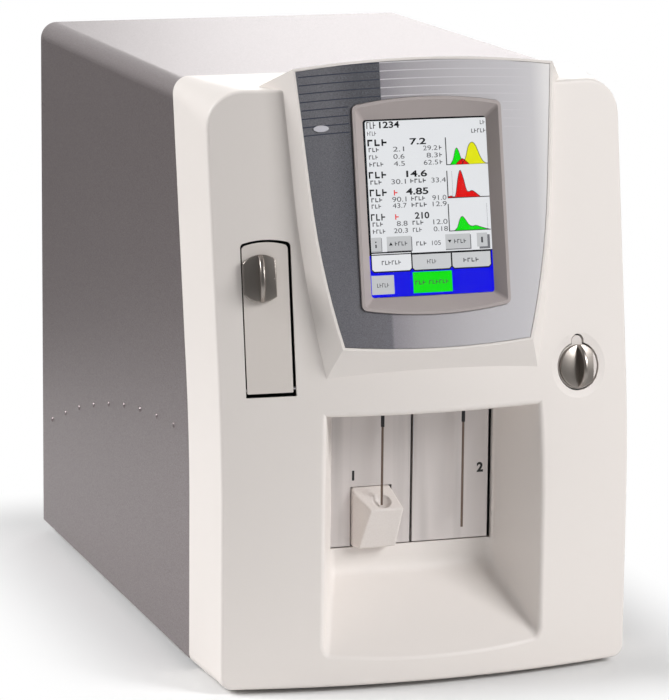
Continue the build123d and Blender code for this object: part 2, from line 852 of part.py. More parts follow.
with BuildPart() as rear_panel:
    extrude(cover_sketch(sheet + seat_gap, panel_low), amount=-cover_depth)
    with BuildSketch(Plane.XZ.offset(-back(0))):
        Rectangle(2 * cover_width, 3 * cover_height)
    extrude(amount=-panel_in, mode=Mode.SUBTRACT)
    with BuildSketch(panel_plane):
        with Locations(on_panel(fan_x, fan_height)):
            Circle(fan_bore)
            with GridLocations(fan_screw_pitch, fan_screw_pitch, 2, 2):
                Circle(fan_screw_hole / 2)
        with Locations(on_panel(inlet_x, inlet_height)):
            Rectangle(inlet_width + 2 * port_gap, inlet_tall + 2 * port_gap)
        with Locations(on_panel(switch_x, inlet_height)):
            Rectangle(switch_width + 2 * port_gap, switch_tall + 2 * port_gap)
        for spigot_x in spigot_places:
            with Locations(on_panel(spigot_x, spigot_height)):
                Circle(spigot_thread_hole / 2)
        for along, rise, width, tall in port_sizes:
            with Locations(on_panel(board_x + along, board_height + rise)):
                Rectangle(width + 2 * port_gap, tall + 2 * port_gap)
    extrude(amount=rear_sheet, mode=Mode.SUBTRACT)


# Fan, guard and power gear on the rear panel
with BuildPart() as fan_frame:
    with BuildSketch(panel_plane):
        with Locations(on_panel(fan_x, fan_height)):
            RectangleRounded(fan_size, fan_size, fan_screw_hole)
            Circle(fan_bore, mode=Mode.SUBTRACT)
            with GridLocations(fan_screw_pitch, fan_screw_pitch, 2, 2):
                Circle(fan_screw_hole / 2, mode=Mode.SUBTRACT)
    extrude(amount=-fan_depth)
    with BuildSketch(panel_plane.offset(-fan_depth)):
        with Locations(on_panel(fan_x, fan_height)):
            Circle(fan_cup)
            with PolarLocations(fan_bore / 2 + fan_cup / 2, 4, start_angle=45):
                Rectangle(fan_bore - fan_cup + 2 * seat_gap, fan_strut)
    extrude(amount=fan_strut_depth)
    with BuildSketch(panel_plane.offset(-fan_depth)):
        with Locations(on_panel(fan_x, fan_height)):
            Circle(fan_shaft / 2 + running_gap)
    extrude(amount=fan_strut_depth, mode=Mode.SUBTRACT)

fan_centre = (fan_x, back(panel_in - fan_depth + fan_strut_depth + seat_gap), up(fan_height))
fan_plane = Plane(origin=fan_centre, x_dir=(-1, 0, 0), z_dir=(0, 1, 0))
fan_run = fan_depth - fan_strut_depth - 2 * seat_gap

with BuildPart() as fan_rotor:
    with BuildSketch(fan_plane):
        Circle(fan_hub)
    extrude(amount=fan_run)
    with BuildSketch(fan_plane.offset(-fan_strut_depth)):
        Circle(fan_shaft / 2)
    extrude(amount=fan_strut_depth)
    for number in range(fan_blades):
        turn = radians(number * 360 / fan_blades)
        radial = fan_plane.x_dir * cos(turn) + fan_plane.y_dir * sin(turn)
        around = fan_plane.y_dir * cos(turn) - fan_plane.x_dir * sin(turn)
        pitch = radians(fan_blade_pitch)
        root = fan_plane.origin + fan_plane.z_dir * (fan_run / 2) + radial * (fan_hub - seat_gap)
        blade = Plane(root, x_dir=around * cos(pitch) + fan_plane.z_dir * sin(pitch), z_dir=radial)
        with BuildSketch(blade):
            Rectangle((fan_run - 2 * fan_blade_thickness) / sin(pitch), fan_blade_thickness)
        extrude(amount=fan_blade_tip - fan_hub)

with BuildPart() as fan_guard:
    with BuildSketch(panel_plane.offset(rear_sheet)):
        with Locations(on_panel(fan_x, fan_height)):
            for ring in guard_rings:
                Circle(ring + guard_wire / 2)
                Circle(ring - guard_wire / 2, mode=Mode.SUBTRACT)
            for angle in (45, 135):
                with Locations(Rotation(0, 0, angle)):
                    Rectangle(fan_screw_pitch * sqrt(2), 2 * guard_wire)
            with GridLocations(fan_screw_pitch, fan_screw_pitch, 2, 2):
                Circle(guard_foot / 2)
            with GridLocations(fan_screw_pitch, fan_screw_pitch, 2, 2):
                Circle(fan_screw_hole / 2, mode=Mode.SUBTRACT)
    extrude(amount=guard_wire)

with BuildPart() as fan_screws:
    with BuildSketch(panel_plane.offset(rear_sheet + guard_wire)):
        with Locations(on_panel(fan_x, fan_height)):
            with GridLocations(fan_screw_pitch, fan_screw_pitch, 2, 2):
                Circle(guard_foot / 2)
    extrude(amount=fan_screw / 2)
    with BuildSketch(panel_plane.offset(rear_sheet + guard_wire)):
        with Locations(on_panel(fan_x, fan_height)):
            with GridLocations(fan_screw_pitch, fan_screw_pitch, 2, 2):
                Circle(fan_screw / 2)
    extrude(amount=-fan_depth)

outer_panel = panel_plane.offset(rear_sheet)

with BuildPart() as power_inlet:
    with BuildSketch(outer_panel):
        with Locations(on_panel(inlet_x, inlet_height)):
            RectangleRounded(inlet_flange_width, inlet_flange_tall, inlet_flange)
    extrude(amount=inlet_flange)
    with BuildSketch(outer_panel):
        with Locations(on_panel(inlet_x, inlet_height)):
            Rectangle(inlet_width, inlet_tall)
    extrude(amount=-inlet_body_depth)
    with BuildSketch(outer_panel.offset(inlet_flange)):
        with Locations(on_panel(inlet_x, inlet_height - inlet_socket_drop)):
            RectangleRounded(inlet_socket_width, inlet_socket_tall, inlet_pin_tall)
    extrude(amount=-inlet_socket_depth, mode=Mode.SUBTRACT)
    with BuildSketch(outer_panel.offset(inlet_flange)):
        with Locations(on_panel(inlet_x, inlet_height + drawer_rise)):
            Rectangle(drawer_width + 2 * seat_gap, drawer_tall + 2 * seat_gap)
    extrude(amount=-drawer_depth - seat_gap - inlet_flange, mode=Mode.SUBTRACT)
    with BuildSketch(outer_panel.offset(inlet_flange - inlet_socket_depth)):
        with Locations(on_panel(inlet_x, inlet_height - inlet_socket_drop)):
            with Locations((-inlet_pin_pitch, 0), (0, inlet_earth_drop), (inlet_pin_pitch, 0)):
                Rectangle(inlet_pin_width, inlet_pin_tall)
    extrude(amount=inlet_pin_length)

with BuildPart() as fuse_drawer:
    with BuildSketch(outer_panel.offset(inlet_flange)):
        with Locations(on_panel(inlet_x, inlet_height + drawer_rise)):
            Rectangle(drawer_width, drawer_tall)
    extrude(amount=-drawer_depth)
    with BuildSketch(outer_panel.offset(inlet_flange)):
        with Locations(on_panel(inlet_x, inlet_height + drawer_rise)):
            Rectangle(drawer_width - drawer_lip, drawer_tall - drawer_lip)
    extrude(amount=drawer_face)

rocker_plane = Plane(
    origin=(switch_x, back(cover_depth + switch_flange - rocker_pivot), up(inlet_height)),
    x_dir=(0, cos(radians(rocker_tilt)), sin(radians(rocker_tilt))),
    z_dir=(1, 0, 0),
)

with BuildPart() as switch_body:
    with BuildSketch(outer_panel):
        with Locations(on_panel(switch_x, inlet_height)):
            RectangleRounded(
                switch_width + 2 * switch_flange_over, switch_tall + 2 * switch_flange_over, port_wall
            )
    extrude(amount=switch_flange)
    with BuildSketch(outer_panel):
        with Locations(on_panel(switch_x, inlet_height)):
            Rectangle(switch_width, switch_tall)
    extrude(amount=-switch_body_depth)
    with BuildSketch(outer_panel.offset(switch_flange)):
        with Locations(on_panel(switch_x, inlet_height)):
            Rectangle(rocker_width + 2 * seat_gap, rocker_tall + 2 * rocker_clearance)
    extrude(amount=-(rocker_tall / 2 + rocker_pivot), mode=Mode.SUBTRACT)
    with BuildSketch(rocker_plane):
        Circle(rocker_pin / 2 + running_gap)
    extrude(amount=rocker_pin_half + seat_gap, both=True, mode=Mode.SUBTRACT)

with BuildPart() as rocker_switch:
    with BuildSketch(rocker_plane):
        with BuildLine():
            half = rocker_tall / 2
            rise = rocker_pivot + rocker_rise
            ThreePointArc((rise - seat_gap, -half), (rocker_pivot + seat_gap, 0), (rise - seat_gap, half))
            Line((rise - seat_gap, half), (0, half - seat_gap))
            ThreePointArc((0, half - seat_gap), (-half / 2, 0), (0, seat_gap - half))
            Line((0, seat_gap - half), (rise - seat_gap, -half))
        make_face()
    extrude(amount=rocker_width / 2, both=True)
    with BuildSketch(rocker_plane):
        Circle(rocker_pin / 2)
    extrude(amount=rocker_pin_half, both=True)

with BuildPart() as reagent_ports:
    for spigot_x in spigot_places:
        with BuildSketch(outer_panel):
            with Locations(on_panel(spigot_x, spigot_height)):
                RegularPolygon(spigot_hex / 2, 6, major_radius=False)
        extrude(amount=spigot_hex_length)
        with BuildSketch(outer_panel):
            with Locations(on_panel(spigot_x, spigot_height)):
                Circle(spigot_thread / 2)
        extrude(amount=-(rear_sheet + spigot_hex_length))
        with BuildSketch(outer_panel.offset(spigot_length)):
            with Locations(on_panel(spigot_x, spigot_height)):
                Circle(spigot_diameter / 2)
        extrude(amount=-(spigot_length + rear_sheet + spigot_tail))
        with BuildSketch(outer_panel.offset(spigot_length)):
            with Locations(on_panel(spigot_x, spigot_height)):
                Circle(spigot_bore / 2)
        extrude(amount=-(spigot_length + rear_sheet + spigot_tail), mode=Mode.SUBTRACT)

with BuildPart() as main_board:
    with BuildSketch(panel_plane.offset(-board_offset)):
        with Locations(on_panel(board_x, board_height)):
            RectangleRounded(board_width, board_tall, board_sheet)
    extrude(amount=-board_sheet)
    corner_inset = 2 * standoff_diameter
    with BuildSketch(panel_plane.offset(-board_offset)):
        with Locations(on_panel(board_x, board_height)):
            with GridLocations(board_width - corner_inset, board_tall - corner_inset, 2, 2):
                Circle(standoff_diameter / 2)
    extrude(amount=board_offset)
    for across, along, wide, long, tall in chip_places:
        with BuildSketch(panel_plane.offset(-board_offset - board_sheet)):
            with Locations(on_panel(board_x + across, board_height + along)):
                Rectangle(wide, long)
        extrude(amount=-tall)

with BuildPart() as data_ports:
    for along, rise, width, tall in port_sizes:
        with BuildSketch(outer_panel.offset(port_proud)):
            with Locations(on_panel(board_x + along, board_height + rise)):
                Rectangle(width, tall)
        extrude(amount=-(port_proud + rear_sheet + board_offset))
        with BuildSketch(outer_panel.offset(port_proud)):
            with Locations(on_panel(board_x + along, board_height + rise)):
                Rectangle(width - 2 * port_wall, tall - 2 * port_wall)
        extrude(amount=-board_offset, mode=Mode.SUBTRACT)

# Tube door: panel, hinge pin, cradle, grip and catch
door_flat = door_plane.offset(wall)
cradle_half = 11.0 * width_share
cradle_low = -38.0 * height_share
cradle_high = 18.0 * height_share
cradle_back = 25.0
cradle_bore = 13.6
cradle_bore_depth = 14.0
cradle_floor = 3.0
cam_length = 11.5 * width_share
cam_width = 9.0
cam_thickness = 2.4
cam_fit = 0.01

hinge_line = Plane(
    door_plane.origin + door_plane.y_dir * (door_low + hinge_rise) - door_plane.z_dir * hinge_depth,
    x_dir=door_plane.y_dir,
    z_dir=door_plane.x_dir,
)
knob_axis = door_plane.origin + door_plane.x_dir * door_knob_x + door_plane.y_dir * door_knob_rise
knob_plane = Plane(knob_axis, x_dir=door_plane.x_dir, z_dir=door_plane.z_dir)

with BuildPart() as tube_door:
    add(moulding_form(0, 0))
    add(moulding_form(wall, overrun), mode=Mode.SUBTRACT)
    panel = door_sketch(door_flat, door_gap, door_latch_gap, door_top_gap, door_foot_gap)
    extrude(panel, amount=-3 * wall, mode=Mode.INTERSECT)
    with BuildSketch(hinge_line):
        Circle(barrel_diameter / 2)
        with Locations((barrel_diameter / 2, 0)):
            Rectangle(barrel_diameter, barrel_diameter)
    extrude(amount=barrel_half, both=True)
    with BuildSketch(hinge_line):
        Circle(hinge_pin / 2 + running_gap)
    extrude(amount=door_half_width, both=True, mode=Mode.SUBTRACT)
    with BuildSketch(knob_plane.offset(wall)):
        Circle(knob_spindle / 2 + running_gap)
    extrude(amount=-3 * wall, mode=Mode.SUBTRACT)

with BuildPart() as door_hinge_pin:
    with BuildSketch(hinge_line):
        Circle(hinge_pin / 2)
    extrude(amount=hinge_pin_half, both=True)

with BuildPart() as tube_cradle:
    with BuildSketch(door_plane.offset(-wall - seat_gap - running_gap)):
        with Locations((0, (cradle_low + cradle_high) / 2)):
            RectangleRounded(2 * cradle_half, cradle_high - cradle_low, cradle_floor)
    extrude(amount=-(cradle_back - wall - seat_gap))
    bore_floor = door_plane.origin + door_plane.y_dir * (cradle_low + cradle_floor)
    bore_floor = bore_floor - door_plane.z_dir * cradle_bore_depth
    with BuildSketch(Plane(bore_floor, x_dir=door_plane.x_dir, z_dir=door_plane.y_dir)):
        Circle(cradle_bore / 2)
    extrude(amount=cradle_high - cradle_low, mode=Mode.SUBTRACT)

knob_seat = 2 * seat_gap

with BuildPart() as door_knob:
    grip_plane = knob_plane.offset(knob_seat)
    add(grip_knob(grip_plane, knob_diameter, door_knob_left, door_knob_right))
    with BuildSketch(knob_plane.offset(knob_seat)):
        Circle(knob_spindle / 2)
    extrude(amount=-(wall + 2 * knob_seat + cam_thickness))

with BuildPart() as catch_cam:
    cam_plane = knob_plane.offset(-wall - knob_seat)
    with BuildSketch(cam_plane):
        with Locations((-cam_length / 2, 0)):
            Rectangle(cam_length, cam_width)
        Circle(knob_spindle / 2 + cam_thickness)
        Circle(knob_spindle / 2 + cam_fit, mode=Mode.SUBTRACT)
    extrude(amount=-cam_thickness)

with BuildPart() as door_pocket:
    with BuildSketch(door_plane):
        with Locations((0, (pocket_low + pocket_high) / 2)):
            Rectangle(2 * pocket_half, pocket_high - pocket_low)
    extrude(amount=-pocket_depth)
    with BuildSketch(door_plane):
        with Locations((0, (pocket_low + pocket_high) / 2)):
            Rectangle(2 * (pocket_half - pocket_wall), pocket_high - pocket_low - 2 * pocket_wall)
    extrude(amount=-(pocket_depth - pocket_wall), mode=Mode.SUBTRACT)
    add(moulding_form(wall + seat_gap, overrun), mode=Mode.INTERSECT)
    with BuildSketch(hinge_line):
        Circle(hinge_pin / 2 + seat_gap)
    extrude(amount=pocket_half + overrun, both=True, mode=Mode.SUBTRACT)

# Adapter port: fixed sleeve, pull-out adapter and its grip
adapter_plane = port_plane.offset(-port_dimple_depth)
adapter_capillary = 2.0

with BuildPart() as port_sleeve:
    with BuildSketch(port_plane):
        key_outline(-sleeve_wall - seat_gap)
        key_outline(-seat_gap, mode=Mode.SUBTRACT)
    extrude(amount=-sleeve_length)
    sleeve_end = port_plane.offset(sleeve_wall - sleeve_length)
    add(keyhole(sleeve_end, -sleeve_wall - seat_gap, sleeve_wall))
    add(moulding_form(wall + seat_gap, overrun), mode=Mode.INTERSECT)

with BuildPart() as adapter_body:
    add(keyhole(adapter_plane, adapter_gap, adapter_length))
    with BuildSketch(adapter_plane.offset(-adapter_length)):
        Circle(adapter_capillary / 2)
    extrude(amount=adapter_length / 2, mode=Mode.SUBTRACT)

with BuildPart() as adapter_knob:
    grip_plane = adapter_plane.offset(running_gap)
    half = adapter_knob_diameter / 2
    add(grip_knob(grip_plane, adapter_knob_diameter, half, adapter_knob_right))


def box(x_low, x_high, y_low, y_high, low, high, mode=Mode.ADD):
    """Add a rectangular block between three pairs of limits to the piece being built."""
    with BuildSketch(Plane.XY.offset(up(low))) as base:
        with Locations(((x_low + x_high) / 2, back((y_low + y_high) / 2))):
            Rectangle(x_high - x_low, y_high - y_low)
    extrude(base.sketch, amount=high - low, mode=mode)


def upright(places, diameter, low, high, mode=Mode.ADD):
    """Add upright round bars at the given places to the piece being built."""
    with BuildSketch(Plane.XY.offset(up(low))) as base:
        for x, y in places:
            with Locations((x, back(y))):
                Circle(diameter / 2)
    extrude(base.sketch, amount=high - low, mode=mode)


def level(places, diameter, front, rear, mode=Mode.ADD):
    """Add round bars that run from front to rear at the given places to the piece being built."""
    with BuildSketch(Plane.XZ.offset(-back(front))) as base:
        for x, height in places:
            with Locations((x, up(height))):
                Circle(diameter / 2)
    extrude(base.sketch, amount=front - rear, mode=mode)


# Start plates, tube block and the frame that carries them
plate_thickness = 3.0
plate_gap = 0.3
plate_foot_gap = 0.9
plate_high = 179.4 * height_share
plate_low = window_low + plate_foot_gap
left_plate_shares = (-0.195862, -0.003103)
left_plate = lengths(left_plate_shares, cover_width)
right_plate_shares = (0.003103, 0.188276)
right_plate = lengths(right_plate_shares, cover_width)
cut_out_shares = (-0.148276, -0.048276)
cut_out = lengths(cut_out_shares, cover_width)
cut_out_gap = 0.5
block_side_shares = (-0.145517, -0.051724)
block_side = lengths(block_side_shares, cover_width)
block_top = 117.8 * height_share
block_top_low = 106.0 * height_share
block_nose = 19.0
block_foot = 9.0 * height_share
block_side_out = 4.0
block_side_in = 7.5 * width_share
block_flare = 3.6 * width_share
block_pit = 6.5
block_round = 1.5
block_pit_round = 0.8
block_pit_depth = 3.9
stem_diameter = 4.0
left_stem_shares = ((-0.172414, 0.255009), (-0.096552, 0.416341))
left_stems = spread(left_stem_shares, cover_width, cover_height)
right_stem_shares = ((0.048276, 0.255009), (0.144828, 0.416341))
right_stems = spread(right_stem_shares, cover_width, cover_height)
block_stem_shares = ((-0.094828, 0.252407),)
block_stem = spread(block_stem_shares, cover_width, cover_height)
plate_travel = 2.5
sampler_front = -18.0
sampler_half = 60.0 * width_share
sampler_foot_half = 72.0 * width_share
sampler_low = 70.0 * height_share
sampler_high = 277.5 * height_share
switch_side = 12.0
switch_rear = -8.0
switch_bore_end = -9.0
stem_end = -12.0
plate_front = plate_front_y
plate_rear = plate_front + plate_thickness
sampler_rear = sampler_front + frame_sheet


with BuildPart() as start_plate_left:
    box(*left_plate, plate_front, plate_rear, plate_low, plate_high)
    box(*cut_out, plate_front - wall, plate_rear + wall, 0, block_top + cut_out_gap, mode=Mode.SUBTRACT)
    level(left_stems, stem_diameter, plate_rear, stem_end)

with BuildPart() as start_plate_right:
    box(*right_plate, plate_front, plate_rear, plate_low, plate_high)
    level(right_stems, stem_diameter, plate_rear, stem_end)

with BuildPart() as tube_block:
    with BuildSketch(Plane.YZ.offset(block_side[0])):
        with BuildLine():
            Polyline(
                (back(plate_rear), up(plate_low)),
                (back(plate_front - block_foot), up(plate_low)),
                (back(plate_front - block_nose), up(block_top_low)),
                (back(plate_front), up(block_top)),
                (back(plate_rear), up(block_top)),
                close=True,
            )
        make_face()
    extrude(amount=block_side[1] + block_flare - block_side[0])
    with BuildSketch(Plane.XY.offset(up(0))):
        with BuildLine():
            Polyline(
                (block_side[0], back(plate_rear)),
                (block_side[0], back(plate_front - block_side_out)),
                (block_side[0] + block_side_in, back(plate_front - block_nose)),
                (block_side[1] + block_flare, back(plate_front - block_nose)),
                (block_side[1], back(plate_front)),
                (block_side[1], back(plate_rear)),
                close=True,
            )
        make_face()
    extrude(amount=block_top, mode=Mode.INTERSECT)
    proud = back(plate_rear) - seat_gap
    fillet([edge for edge in tube_block.edges() if edge.center().Y < proud], block_round)
    facet_rise = (block_top - block_top_low) / block_nose
    pit_height = block_top + facet_rise * (needle_y - plate_front)
    pit_radius = (block_pit**2 + block_pit_depth**2) / (2 * block_pit_depth)
    pit_plane = Plane(
        origin=(needle_places[0], back(needle_y), up(pit_height)),
        x_dir=(1, 0, 0),
        z_dir=(0, -facet_rise, 1),
    )
    with Locations(pit_plane.offset(pit_radius - block_pit_depth)):
        Sphere(pit_radius, mode=Mode.SUBTRACT)
    fillet(tube_block.faces().filter_by(GeomType.SPHERE).sort_by(SortBy.AREA)[-1].edges(), block_pit_round)
    level(block_stem, stem_diameter, plate_rear, stem_end)

with BuildPart() as start_switches:
    for x, height in left_stems + right_stems + block_stem:
        box(
            x - switch_side / 2, x + switch_side / 2, sampler_rear + plate_gap, switch_rear,
            height - switch_side / 2, height + switch_side / 2,
        )
        bore = stem_diameter + 2 * running_gap
        level(((x, height),), bore, sampler_rear, switch_bore_end, mode=Mode.SUBTRACT)

# Needle drive: shelves on the sampler frame, rods, lead screw, carriage, wash block
shelf_low = 198.3 * height_share
shelf_high = 276.0 * height_share
shelf_front_shares = (-0.8, -0.492308)
shelf_fronts = lengths(shelf_front_shares, edge_depth)
shelf_side_shares = (-0.12069, 0.148276)
shelf_sides = lengths(shelf_side_shares, cover_width)
rod_shares = ((-0.041379, -0.369231), (0.068966, -0.369231))
rod_places = spread(rod_shares, cover_width, edge_depth)
rod_diameter = 6.0
rod_over = 4.0
screw_shares = ((0.013793, -0.369231),)
screw_place = spread(screw_shares, cover_width, edge_depth)
screw_diameter = 5.0
screw_top = 288.0 * height_share
motor_diameter = 22.0 * width_share
motor_tall = 28.0 * height_share
carriage_low = 206.0 * height_share
carriage_high = 221.0 * height_share
carriage_rear = -20.0
carriage_front = -50.0
needle_diameter = 1.6
needle_tip_shares = (0.28025, 0.231069)
needle_tips = lengths(needle_tip_shares, cover_height)
needle_top = 227.0 * height_share
sheath_diameter = 2.4
sheath_low = 161.0 * height_share
shelf_hole = 5.0
wash_low = 184.0 * height_share
wash_front = -50.0
wash_rear = -37.0
wash_side_shares = (-0.117241, 0.141379)
wash_sides = lengths(wash_side_shares, cover_width)
needle_spots = tuple((x, needle_y) for x in needle_places)
shelves = (shelf_low, shelf_high)

with BuildPart() as sampler_feet:
    add(leaning_slab(-frame_sheet, 0, sampler_foot_half))
    box(
        -sampler_foot_half, sampler_foot_half, -overrun, 3 * overrun, sampler_low, sampler_high,
        mode=Mode.INTERSECT,
    )
    half = sampler_half - frame_sheet
    box(-half, half, -overrun, 3 * overrun, sampler_low, sampler_high, mode=Mode.SUBTRACT)

with BuildPart() as sampler_frame:
    box(-sampler_half, sampler_half, sampler_front, 2 * overrun, sampler_low, sampler_high)
    half = sampler_half - frame_sheet
    box(-half, half, sampler_rear, 2 * overrun, sampler_low, sampler_high, mode=Mode.SUBTRACT)
    add(leaning_slab(-3 * overrun, 0, sampler_foot_half), mode=Mode.INTERSECT)
    add(sampler_feet.part)
    for shelf, shelf_front in zip(shelves, shelf_fronts):
        box(*shelf_sides, shelf_front, sampler_front, shelf, shelf + frame_sheet)
        for places, diameter in ((rod_places, rod_diameter), (screw_place, screw_diameter)):
            upright(
                places, diameter + 2 * running_gap, shelf - wall, shelf + wall, mode=Mode.SUBTRACT
            )
    upright(needle_spots, shelf_hole, shelf_low - wall, shelf_low + wall, mode=Mode.SUBTRACT)
    stems = left_stems + right_stems + block_stem
    bore = stem_diameter + 2 * running_gap
    level(stems, bore, sampler_front - wall, sampler_rear + wall, mode=Mode.SUBTRACT)

with BuildPart() as guide_rods:
    upright(rod_places, rod_diameter, shelf_low - rod_over, shelf_high + rod_over)

with BuildPart() as lead_screw:
    upright(screw_place, screw_diameter, shelf_low - rod_over, screw_top)

with BuildPart() as carriage_motor:
    motor_low = shelf_high + frame_sheet + running_gap
    upright(screw_place, motor_diameter, motor_low, motor_low + motor_tall)
    bore = screw_diameter + 2 * running_gap
    upright(screw_place, bore, motor_low, screw_top + seat_gap, mode=Mode.SUBTRACT)

with BuildPart() as needle_carriage:
    box(*wash_sides, carriage_front, carriage_rear, carriage_low, carriage_high)
    fits = (
        (rod_places, rod_diameter), (screw_place, screw_diameter), (needle_spots, needle_diameter),
    )
    for places, diameter in fits:
        bore = diameter + 2 * running_gap
        upright(places, bore, carriage_low, carriage_high, mode=Mode.SUBTRACT)

with BuildPart() as needles:
    for spot, tip in zip(needle_spots, needle_tips):
        upright((spot,), needle_diameter, tip, needle_top)

with BuildPart() as needle_sheaths:
    upright(needle_spots, sheath_diameter, sheath_low, shelf_low + frame_sheet)
    bore = needle_diameter + 2 * running_gap
    upright(needle_spots, bore, sheath_low, shelf_low + wall, mode=Mode.SUBTRACT)

with BuildPart() as wash_block:
    box(*wash_sides, wash_front, wash_rear, wash_low, shelf_low - running_gap)
    bore = sheath_diameter + 2 * running_gap
    upright(needle_spots, bore, wash_low, shelf_low, mode=Mode.SUBTRACT)

# Screen: fascia, bezel, touch glass, display module, bracket, driver board, indicator lens
screen_crown = 0.2
flange_over = 4.0
bezel_back = surround_inner + seat_gap
bezel_flange = 1.5
glass_half = 46.0 * width_share
glass_tall = 122.0 * height_share
glass_thickness = 1.1
module_half = 50.0 * width_share
module_tall = 132.0 * height_share
module_depth = 6.0
bracket_half = 64.0 * width_share
bracket_tall = 142.0 * height_share
post_x = 60.5 * width_share
post_pitch = 126.0 * height_share
post_diameter = 5.0
driver_width = 90.0 * width_share
driver_tall = 92.0 * height_share
driver_gap = 2.4
driver_chip_shares = (
    (-0.222222, 0.217391, 0.2, 0.195652, 1.25), (0.244444, 0.130435, 0.133333, 0.130435, 1.0),
    (0.0, -0.326087, 0.444444, 0.086957, 1.75),
)
driver_chips = spread(driver_chip_shares, driver_width, driver_tall, driver_width, driver_tall, board_sheet)
lens_proud = 0.3
lens_flange = 1.4
screen_middle = (screen_low + screen_high) / 2
flange_back = bezel_back + bezel_flange
module_front = flange_back + seat_gap
module_back = module_front + module_depth
bracket_front = module_back + seat_gap
bracket_back = bracket_front + frame_sheet


with BuildPart() as fascia_panel:
    rim = fascia_rim + seat_gap
    extrude(surround_sketch(fascia_sink, -rim, -rim, -rim), amount=-fascia_thickness)
    extrude(bezel_sketch(0, seat_gap), amount=-2 * fascia_back, mode=Mode.SUBTRACT)
    with BuildSketch(fascia_plane):
        with Locations((lens_x, lens_rise)):
            Ellipse(lens_long / 2 + lens_gap, lens_short / 2 + lens_gap)
    extrude(amount=-2 * fascia_back, mode=Mode.SUBTRACT)

with BuildPart() as screen_bezel:
    extrude(bezel_sketch(-bezel_proud, 0), amount=-(bezel_proud + bezel_back))
    extrude(bezel_sketch(bezel_back, flange_over), amount=-bezel_flange)
    with BuildSketch(fascia_plane.offset(-bezel_back)):
        with Locations((0, screen_middle)):
            Rectangle(2 * glass_half + 2 * seat_gap, glass_tall + 2 * seat_gap)
    extrude(amount=-bezel_flange, mode=Mode.SUBTRACT)
    screen_edge = arched_sketch(
        fascia_plane.offset(-bezel_back), screen_half, screen_low, screen_high,
        screen_low - screen_crown, screen_high + screen_crown, screen_corner,
    )
    land_edge = bezel_sketch(-bezel_proud, -bezel_land)
    loft(sections=[land_edge.faces()[0], screen_edge.faces()[0]], ruled=True, mode=Mode.SUBTRACT)

with BuildPart() as touch_glass:
    with BuildSketch(fascia_plane.offset(-bezel_back - running_gap)):
        with Locations((0, screen_middle)):
            Rectangle(2 * glass_half, glass_tall)
    extrude(amount=-glass_thickness)

with BuildPart() as lcd_module:
    with BuildSketch(fascia_plane.offset(-module_front)):
        with Locations((0, screen_middle)):
            Rectangle(2 * module_half, module_tall)
    extrude(amount=-module_depth)

with BuildPart() as display_bracket:
    with BuildSketch(fascia_plane.offset(-bracket_front)):
        with Locations((0, screen_middle)):
            RectangleRounded(2 * bracket_half, bracket_tall, post_diameter)
    extrude(amount=-frame_sheet)
    with BuildSketch(fascia_plane.offset(-bezel_back)):
        with Locations((0, screen_middle)):
            with GridLocations(2 * post_x, post_pitch, 2, 2):
                Circle(post_diameter / 2)
    extrude(amount=-(bracket_front - bezel_back))

with BuildPart() as display_board:
    with BuildSketch(fascia_plane.offset(-bracket_back - driver_gap)):
        with Locations((0, screen_middle)):
            RectangleRounded(driver_width, driver_tall, board_sheet)
    extrude(amount=-board_sheet)
    with BuildSketch(fascia_plane.offset(-bracket_back)):
        with Locations((0, screen_middle)):
            with GridLocations(driver_width - 2 * post_diameter, driver_tall - 2 * post_diameter, 2, 2):
                Circle(post_diameter / 2)
    extrude(amount=-driver_gap)
    for across, along, wide, long, tall in driver_chips:
        with BuildSketch(fascia_plane.offset(-bracket_back - driver_gap - board_sheet)):
            with Locations((across, screen_middle + along)):
                Rectangle(wide, long)
        extrude(amount=-tall)

with BuildPart() as indicator_lens:
    with BuildSketch(fascia_plane.offset(lens_proud)):
        with Locations((lens_x, lens_rise)):
            Ellipse(lens_long / 2, lens_short / 2)
    extrude(amount=-(lens_proud + bezel_back + lens_flange))
    with BuildSketch(fascia_plane.offset(-bezel_back)):
        with Locations((lens_x, lens_rise)):
            Ellipse(lens_long / 2 + lens_flange, lens_short / 2 + lens_flange)
    extrude(amount=-lens_flange)

# Inner deck across the box and the fluid units on its front
deck_front = 120.0 * depth_share
deck_inset = 7.0
deck_half = cover_width / 2 - deck_inset
deck_high = 360.0 * height_share
deck_foot = 14.0 * height_share
deck_hose_shares = ((-0.103448, 0.858704), (0.103448, 0.858704), (-0.37931, 0.520427))
deck_hose_holes = spread(deck_hose_shares, cover_width, cover_height)
deck_hose_hole = 24.0
deck_rear = deck_front + frame_sheet
unit_rear = deck_front - seat_gap
cup_shares = ((-0.213793, 0.221662), (-0.048276, 0.221662))
cup_places = spread(cup_shares, cover_width, cover_depth)
cup_diameter = 34.0 * width_share
cup_bore = 28.0 * width_share
cup_low = 214.0 * height_share
cup_high = 276.0 * height_share
cup_floor = 5.0 * height_share
cup_arm_half = 6.0 * width_share
cup_arm_low = 236.0 * height_share
cup_arm_high = 252.0 * height_share
count_side_shares = (-0.310345, 0.048276)
count_sides = lengths(count_side_shares, cover_width)
count_front = 64.0 * depth_share
count_low = 156.0 * height_share
count_high = 213.7 * height_share
count_bore = 12.0 * width_share
count_floor = 18.0 * height_share
valve_x = 78.0 * width_share
valve_height = 262.0 * height_share
valve_disc = 52.0 * width_share
valve_thickness = 12.0 * depth_share
valve_turning = 48.0 * width_share
valve_turning_thickness = 9.0 * depth_share
valve_shaft = 8.0
valve_ports = 4
valve_port = 5.0
valve_port_long = 9.0
valve_port_radius = 15.0 * width_share
valve_motor_side = 42.0 * width_share
valve_motor_long = 38.0 * depth_share
valve_shaft_end = 12.0
diluter_side_shares = (-0.448276, -0.317241)
diluter_sides = lengths(diluter_side_shares, cover_width)
diluter_front = 76.0 * depth_share
diluter_low = 40.0 * height_share
diluter_high = 150.0 * height_share
